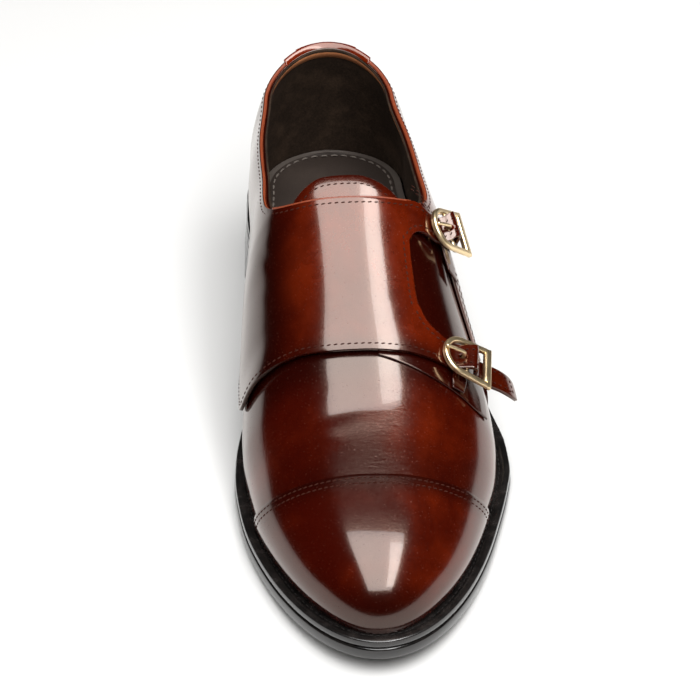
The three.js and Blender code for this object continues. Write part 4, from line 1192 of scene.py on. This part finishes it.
# A strip or roll swept along a line: every section point has a lift and a distance inside the line
def sweepPiece(name, line, section):
    loops = []
    for lift, distance in section:
        place, around = inset(line, distance, max(lift, 0.0)) if distance else line
        loops.append(overLast(place, around, lift + 0 * place))
    points = np.stack(loops, axis=1)
    count, size = points.shape[:2]
    faces = []
    for i in range(count - 1):
        for j in range(size):
            k = (j + 1) % size
            faces.append((i * size + j, i * size + k, (i + 1) * size + k, (i + 1) * size + j))
    faces.append(tuple(range(size)))
    faces.append(tuple((count - 1) * size + j for j in reversed(range(size))))
    piece = meshPiece(name, points.reshape(-1, 3), faces)
    turnOutward(piece)
    return piece


# The rolled collar edge, from the throat's inner corner round the heel to the upper strap
rolled = {
    "half": 0.00085, "height": 0.0006, "middle": 0.0006, "sides": 12, "bandDrop": 0.0026, "bandTop": 0.0006,
    "foldReach": 0.018, "foldHalf": 0.0019, "foldHeight": 0.0010, "foldMiddle": 0.0007, "foldEnd": 0.2,
    "throatHalf": 0.00075, "throatHeight": 0.0006, "throatShare": 0.8,
}


def ovalSection(half, height, middle, sides):
    section = []
    for k in range(sides):
        angle = 2 * math.pi * k / sides
        section.append((middle + half * math.cos(angle), -height * math.sin(angle)))
    return section


def makeCollar():
    section = ovalSection(rolled["half"], rolled["height"], rolled["middle"], rolled["sides"])
    roll = sweepPiece("collar_roll", collarLine, section)
    finishPiece(roll, [rolledEdge])
    middle = overLast(*collarLine, 0 * collarLine[0])
    fold = np.abs(middle[:, 0] - shift[0]) < rolled["foldReach"]        # the heel strip, folded over
    fold &= collarLine[0] < rolled["foldEnd"] * length
    section = ovalSection(rolled["foldHalf"], rolled["foldHeight"], rolled["foldMiddle"], rolled["sides"])
    cover = sweepPiece("backstay_fold", (collarLine[0][fold], collarLine[1][fold]), section)
    finishPiece(cover, [foldSkin])
    top, inside, drop = rolled["bandTop"], -shoe["wall"], rolled["bandDrop"]
    band = [(-0.0001, 0.001), (-0.0001, -top * 0.7), (-0.0006, -top), (inside + 0.0004, -top),
            (inside - 0.0002, -top * 0.5), (inside - 0.0003, 0.0003), (inside - 0.00025, drop - 0.0003),
            (inside, drop)]
    piece = sweepPiece("tan_band", collarLine, band)
    finishPiece(piece, [tanBand])
    top = shoe["sheetGap"] + panel["thick"]
    middle = top - rolled["throatHalf"] * rolled["throatShare"]
    section = ovalSection(rolled["throatHalf"], rolled["throatHeight"], middle, rolled["sides"])
    edge = sweepPiece("throat_roll", throatLine, section)
    finishPiece(edge, [rolledEdge])


# Buckles: a D frame with a chamfered section, its hidden centre bar, and a prong over the round end
def sweepRing(name, outline, normals, widths, thickness, chamfer):
    loops = []
    h = thickness / 2
    for (x, y), (nx, ny), w in zip(outline, normals, widths):
        section = [(-w, -h + chamfer), (-w + chamfer, -h), (-chamfer, -h), (0.0, -h + chamfer),
                   (0.0, h - chamfer), (-chamfer, h), (-w + chamfer, h), (-w, h - chamfer)]
        loops.append(np.array([(x + nx * d, y + ny * d, z) for d, z in section]))
    return loftPiece(name, loops, ring=True)


def frameOutline():
    b = buckle
    half, right = b["width"] / 2, b["length"] / 2
    centre, radius = b["roundAt"] * b["length"], b["round"] * b["length"]
    shoulder = b["shoulder"] * half
    points = [(right, y) for y in np.linspace(-half, half, 9)]
    points += list(zip(np.linspace(right, centre, 9)[1:], np.linspace(half, shoulder, 9)[1:]))
    for angle in np.linspace(90, 270, 33)[1:]:
        a = math.radians(angle)
        points.append((centre + radius * math.cos(a), shoulder * math.sin(a)))
    points += list(zip(np.linspace(centre, right, 9)[1:-1], np.linspace(-shoulder, -half, 9)[1:-1]))
    return points


def makeFrame(name, seat):
    outline = frameOutline()
    count, nearly = len(outline), 1e-6
    normals, inner = [], []
    for i, (x, y) in enumerate(outline):
        ax, ay = outline[i - 1]
        bx, by = outline[(i + 1) % count]
        tx, ty = bx - ax, by - ay
        size = math.hypot(tx, ty)
        straight = x > buckle["length"] / 2 - nearly
        corner = straight and abs(y) > buckle["width"] / 2 - nearly      # the square corners are mitred
        normals.append((1.0, 1.0 if y > 0 else -1.0) if corner else (ty / size, -tx / size))
        inner.append(buckle["bar"] if straight and not corner else buckle["section"])
    piece = sweepRing(name, outline, normals, inner, buckle["thickness"], buckle["chamfer"])
    roundEdges(piece, buckle["edge"], buckle["edgeAngle"])
    deselectAll()
    bpy.ops.mesh.primitive_cylinder_add(vertices=24, radius=buckle["centreBar"],
                                        depth=buckle["width"] - 2 * buckle["barInset"],
                                        rotation=(math.pi / 2, 0, 0), location=(0, 0, -buckle["drop"]))
    bar = bpy.context.active_object
    bpy.ops.object.transform_apply(location=True, rotation=True, scale=True)
    pick(piece)
    bar.select_set(True)
    bpy.ops.object.join()
    piece = bpy.context.active_object
    piece.data.transform(seat)
    return piece


def tubePiece(name, route, radii, sides=14):
    route = [Vector(p) for p in route]
    loops = []
    for i, point in enumerate(route):
        ahead = route[min(i + 1, len(route) - 1)] - route[max(i - 1, 0)]
        turned = ahead.to_track_quat("Z", "Y")
        ring = []
        for k in range(sides):
            angle = 2 * math.pi * k / sides
            ring.append(point + turned @ (radii[i] * Vector((math.cos(angle), math.sin(angle), 0))))
        loops.append(np.array([tuple(p) for p in ring]))
    return loftPiece(name, loops)


def curveThroughPoints(points, steps):     # a smooth route through a few points
    points = [Vector(p) for p in points]
    route = []
    for i in range(len(points) - 1):
        before, after = points[max(i - 1, 0)], points[min(i + 2, len(points) - 1)]
        a, b = points[i], points[i + 1]
        for k in range(steps):
            t = k / steps
            route.append(0.5 * ((2 * a) + (b - before) * t + (2 * before - 5 * a + 4 * b - after) * t ** 2
                                + (3 * a - before - 3 * b + after) * t ** 3))
    return route + [points[-1]]


def makeProng(name):
    b, p = buckle, prongForm
    over = b["thickness"] / 2 + shoe["gap"] + p["radius"]
    beside = -(b["centreBar"] + shoe["gap"] + p["radius"])
    end, high = -b["length"] / 2, over + p["arch"]
    stops = [(beside, 0, -b["drop"]), (beside - p["lean"], 0, p["rise"]), (beside - p["shoulder"], 0, high),
             (p["middle"] * end, 0, high), (end + b["section"] / 2, 0, over),
             (end - p["tip"], 0, over - p["dip"])]
    route = curveThroughPoints(stops, 8)
    last = len(route) - 1
    radii = [p["radius"] * (1 - p["taper"] * max(0, i - last + 4)) for i in range(len(route))]
    return tubePiece(name, route, radii)


def makeBuckles():
    for name, seat in seats.items():
        piece = makeFrame(name + "_buckle_gold", seat)
        finishPiece(piece, [gold], [name + "_buckle_frame"], angle=28)
        prong = makeProng(name + "_prong_gold")
        prong.data.transform(seat)
        finishPiece(prong, [gold], [name + "_buckle_prong"], angle=50)


tab = {
    "half": 0.0034, "rear": 0.3, "front": 0.68, "leather": 0.0009, "taper": 0.18, "taperAt": 0.45,
    "taperReach": 0.17, "columns": 22, "rows": 13,
}


def makeTabs():
    for name, strap in straps.items():
        inward = np.array(seats[name].inverted())
        spot = strap["around"]
        middle = strapMiddle(strap, spot)

        def reachAt(place, around):
            return overLast(place, around, 0.0) @ inward[0, :3] + inward[0, 3]

        step, small = 0.01, 0.001
        perAround = (reachAt(middle, spot + step) - reachAt(middle, spot)) / step
        perPlace = (reachAt(middle + small, spot) - reachAt(middle, spot)) / small
        off = np.linspace(-tab["rear"], tab["front"], tab["columns"])[None, :] * buckle["width"]
        side = np.linspace(-1, 1, tab["rows"])[:, None]
        taper = 1 - tab["taper"] * smooth((off / buckle["width"] - tab["taperAt"]) / tab["taperReach"])
        around = spot + (side * taper * tab["half"] - perPlace * off) / perAround
        place = middle + off + 0 * side
        lift = shoe["gap"] + shoe["sheetGap"] + outerQuarter["leather"]
        piece = sheetPiece(name + "_tab_leather", place, around, onSurface(lift), tab["leather"],
                           burnishAndShade=lambda p, a: burnishAndShadeShares["tab"] + 0 * p, trimmed=False)
        finishPiece(piece, [darkSkin, darkEdge], [name + "_buckle_tab"])


makeCollar()
makeBuckles()
makeTabs()
print("collar and buckles made")


# Stitches. One stitch is modelled and set along the seams, sunk at both ends.
stitch = {
    "long": 0.0021, "wide": 0.00062, "high": 0.00038, "pitch": 0.0027, "turn": 9, "sink": 0.00028,
    "above": 0.00004, "seam": 0.0024, "rootOffset": 0.016, "rootGap": 0.006, "strapEnd": 0.015,
    "capRows": (0.0017, 0.0043), "capPitch": 0.0024, "tongueInset": 0.0042, "backstayInset": 0.0018,
    "lowerStart": 0.016, "upperStart": 0.012, "slitEnd": 0.008, "endShare": 0.16, "roundness": 0.8,
    "small": 0.0004,
}

# Where the seams start and end round the shoe
seamEnds = {
    "front": 0.985, "throat": 0.325, "quarter": (0.33, 0.03), "cap": (0.035, 0.965), "tongue": (0.29, 0.71),
    "backstay": 0.015, "pastFlare": 0.05,
}


def stitchShape():
    deselectAll()
    bpy.ops.mesh.primitive_uv_sphere_add(segments=8, ring_count=7, radius=0.5)
    seed = bpy.context.active_object
    seed.data.transform(Matrix.Rotation(math.pi / 2, 4, "Y"))
    bpy.ops.object.mode_set(mode="EDIT")
    bpy.ops.mesh.select_all(action="SELECT")
    bpy.ops.transform.resize(value=(stitch["long"], stitch["wide"], stitch["high"]))
    bpy.ops.object.mode_set(mode="OBJECT")
    points = np.array([v.co for v in seed.data.vertices], float)
    faces = [tuple(f.vertices) for f in seed.data.polygons]
    bpy.data.objects.remove(seed)
    share = points[:, 0] / (stitch["long"] / 2)
    points[:, 0] = np.sign(share) * np.abs(share) ** stitch["roundness"] * stitch["long"] / 2
    points[:, 2] -= stitch["sink"] * share ** 2
    return points, faces


stitchPoints, stitchFaces = stitchShape()


def lengthAlong(points):
    return np.concatenate([[0], np.cumsum(np.linalg.norm(np.diff(points, axis=0), axis=1))])


def runAt(marks, run, points):
    return np.stack([np.interp(marks, run, points[:, k]) for k in range(3)], axis=-1)


def stitchesAlong(lines, pitch):        # each line is place, around and the lift of the leather under it
    c, s = math.cos(math.radians(stitch["turn"])), math.sin(math.radians(stitch["turn"]))
    cloud, faces = [], []
    for place, around, lift in lines:
        here = overLast(place, around, lift)
        run = lengthAlong(here)
        marks = np.arange(pitch / 2, run[-1], pitch)
        p, a, l = (np.interp(marks, run, values) for values in (place, around, lift))
        spot, _, _, normal = surfaceStep(p, a, l)
        small = stitch["small"]
        tangent = runAt(marks + small, run, here) - runAt(marks - small, run, here)
        tangent -= normal * np.sum(tangent * normal, axis=-1, keepdims=True)
        tangent /= np.linalg.norm(tangent, axis=-1, keepdims=True) + 1e-12
        side = np.cross(normal, tangent)
        x, y = tangent * c + side * s, side * c - tangent * s
        for k in range(len(marks)):
            base = len(cloud) * len(stitchPoints)
            q = stitchPoints
            cloud.append(spot[k] + q[:, :1] * x[k] + q[:, 1:2] * y[k] + q[:, 2:] * normal[k])
            faces += [tuple(v + base for v in f) for f in stitchFaces]
    return np.concatenate(cloud), faces


def stitchPiece(name, lines, pitch=stitch["pitch"]):
    points, faces = stitchesAlong(lines, pitch)
    piece = meshPiece(name, points, faces)
    finishPiece(piece, [redThread])
    print(name, len(faces) // len(stitchFaces), "stitches")


def withLift(line, lift):
    place, around = line
    return place, around, (lift(place, around) if callable(lift) else lift + 0 * place)


def panelTop(place, around):
    leather = panelLift(place, around) + creaseLift(place, around) + panelWall(place, around)
    return leather + stitch["above"]


def tableLine(table, column, start, stop, count=220):
    around = np.linspace(start, stop, count)
    return edgePlace(table, column, around), around


def panelStitches():
    seam, root = stitch["seam"], panel["root"]
    lower = straps["lower"]["end"] + stitch["lowerStart"]
    upper = straps["upper"]["end"] + stitch["upperStart"]
    slitEnd = root - stitch["slitEnd"]
    front = inset(tableLine(panelTable, "front", seamEnds["front"], lower), -seam)
    slitFront = inset(tableLine(panelTable, "slitFront", lower, slitEnd, 120), -seam)
    slitRear = inset(tableLine(panelTable, "slitRear", upper, slitEnd, 120), seam)
    share = np.linspace(0, 1, 60)
    beside = root - stitch["rootGap"]
    rear, fore = edgePlace(panelTable, "slitRear", beside), edgePlace(panelTable, "slitFront", beside)
    rootLine = (mix(rear, fore, share), root + stitch["rootOffset"] + rootBow(share))
    throat = inset(throatLine, seam)
    strapRear = inset(tableLine(panelTable, "throat", seamEnds["throat"], upper, 90), seam)
    lines = [front, slitFront, slitRear, rootLine, throat, strapRear]
    for name, strap in straps.items():
        across = np.linspace(stitch["endShare"], 1 - stitch["endShare"], 16)
        spot = strap["end"] + stitch["strapEnd"] + 0 * across
        rear, fore = edgePlace(panelTable, strap["rear"], spot), edgePlace(panelTable, strap["front"], spot)
        lines.append((mix(rear, fore, across), spot))
    stitchPiece("panel_stitches", [withLift(line, panelTop) for line in lines])


def makeStitches():
    seam, above = stitch["seam"], stitch["above"]
    panelStitches()
    quarterTop = shoe["sheetGap"] + outerQuarter["leather"] + above
    quarterFront = tableLine(quarterTable, "front", *seamEnds["quarter"])
    rows = [inset(collarLine, seam), inset(quarterFront, -seam), inset(quarterFront, -2 * seam)]
    stitchPiece("quarter_stitches", [withLift(row, quarterTop) for row in rows])
    around = np.linspace(*seamEnds["cap"], 300)
    capTop = shoe["sheetGap"] + cap["leather"] + above + 0 * around
    rows = [(capSeam(around) + offset, around, capTop) for offset in stitch["capRows"]]
    stitchPiece("cap_stitches", rows, stitch["capPitch"])
    across = np.linspace(*seamEnds["tongue"], 120)
    tongueEdge = (edgePlace(tongueTable, "rear", across) + stitch["tongueInset"], across)
    tongueTop = tongue["stitchLift"] - shoe["wall"] - tongue["gap"]
    stitchPiece("tongue_stitches", [withLift(tongueEdge, tongueTop)])
    up = np.linspace(seamEnds["backstay"], backstay["start"] + seamEnds["pastFlare"], 120)
    rise = 3 * shoe["sheetGap"] + outerQuarter["leather"] + backstay["leather"] + above + 0 * up
    place = alongAtWidth(backstayHalf(up) - stitch["backstayInset"])
    stitchPiece("backstay_stitches", [(place, up, rise), (place, 1 - up, rise)])


# The seams that lie flat: how large their stitches are, their pitch, and where the insole's seam lies
flatSeam = {
    "welt": 0.95, "weltPitch": 0.0029, "insole": 1.5, "insolePitch": 0.0044, "insoleInset": 0.0016,
    "insoleLift": 0.0010, "step": 0.0005,
}


def flatStitches(name, loop, size, pitch, material):     # on the welt and the insole
    loop = np.concatenate([loop, loop[:1]])
    run = lengthAlong(loop)
    marks = np.arange(pitch / 2, run[-1], pitch)
    spot = runAt(marks, run, loop)
    step = flatSeam["step"]
    ahead = runAt(marks + step, run, loop) - runAt(marks - step, run, loop)
    tangent = ahead / (np.linalg.norm(ahead, axis=-1, keepdims=True) + 1e-12)
    side = np.cross((0, 0, 1.0), tangent)
    side /= np.linalg.norm(side, axis=-1, keepdims=True) + 1e-12
    normal = np.cross(tangent, side)
    points = stitchPoints * size
    cloud = [spot[k] + points[:, :1] * tangent[k] + points[:, 1:2] * side[k] + points[:, 2:] * normal[k]
             for k in range(len(marks))]
    faces = [tuple(v + k * len(points) for v in f) for k in range(len(marks)) for f in stitchFaces]
    piece = meshPiece(name, np.concatenate(cloud), faces)
    finishPiece(piece, [material])


makeStitches()
seamInset = sole["edgeInset"] + weltBand["channel"] + weltBand["seam"]
weltSeam = soleLoop(seamInset, lambda s: weltTop(s) - weltBand["sunk"], 140)
flatStitches("welt_stitches", weltSeam, flatSeam["welt"], flatSeam["weltPitch"], blackThread)
sockTop = sockSurface(sock["rim"] + flatSeam["insoleInset"], flatSeam["insoleLift"])
sockEdge = np.concatenate([sockTop[0, 1:-1], sockTop[-1, -2:0:-1]])
flatStitches("insole_stitches", sockEdge, flatSeam["insole"], flatSeam["insolePitch"], paleThread)
print("stitches set")


# The studio: pale floor, a large soft light overhead and pale sides
studio = {"floorSize": 14, "sky": (1.0, 0.99, 0.975, 1), "world": 0.22}
lights = {
    "overhead": {"at": (0.05, -0.50, 1.20), "aim": (0.05, -0.50, 0), "size": (1.00, 1.8), "power": 35},
    "strip": {"at": (0.42, -0.45, 1.19), "aim": (0.42, -0.45, 0), "size": (0.30, 1.5), "power": 9},
    "left": {"at": (-1.2, 0.0, 0.6), "aim": (0, 0, 0.03), "size": (0.8, 1.2), "power": 6},
    "right": {"at": (1.2, 0.0, 0.6), "aim": (0, 0, 0.03), "size": (0.8, 1.2), "power": 6},
}


def makeFloor():
    deselectAll()
    bpy.ops.mesh.primitive_grid_add(x_subdivisions=8, y_subdivisions=8, size=studio["floorSize"])
    floor = bpy.context.active_object
    floor.name = "floor"
    floor.data.materials.append(floorPaper)


def areaLight(name, at, aim, size, power):
    light = bpy.data.lights.new(name, "AREA")
    light.shape, light.size, light.size_y, light.energy = "RECTANGLE", size[0], size[1], power
    lamp = bpy.data.objects.new(name, light)
    bpy.context.scene.collection.objects.link(lamp)
    lamp.location = at
    lamp.rotation_euler = (Vector(aim) - Vector(at)).to_track_quat("-Z", "Y").to_euler()
    return lamp


def makeLights():
    world = bpy.data.worlds.new("studio")
    world.use_nodes = True
    sky = next(n for n in world.node_tree.nodes if n.type == "BACKGROUND")
    sky.inputs["Color"].default_value = studio["sky"]
    sky.inputs["Strength"].default_value = studio["world"]
    bpy.context.scene.world = world
    world.cycles_visibility.glossy = False          # the leather mirrors the lights and the floor only
    for name, values in lights.items():
        lamp = areaLight(name, **values)
        lamp.visible_glossy = name not in ("left", "right")     # these only fill, they leave no streak


camera = {"eye": (-0.08815, -1.13887, 0.92349), "aim": (0.0, 0.010, 0.030), "lens": 182.94}


def makeCamera():
    data = bpy.data.cameras.new("camera")
    data.lens, data.sensor_width = camera["lens"], 36
    holder = bpy.data.objects.new("camera", data)
    bpy.context.scene.collection.objects.link(holder)
    eye = Vector(camera["eye"]) + Vector(shift)
    aim = Vector(camera["aim"]) + Vector(shift)
    holder.location = eye
    holder.rotation_euler = (aim - eye).to_track_quat("-Z", "Y").to_euler()
    bpy.context.scene.camera = holder


makeFloor()
makeLights()
makeCamera()
bpy.context.scene.view_settings.view_transform = "Standard"     # the plain look of a catalogue photograph
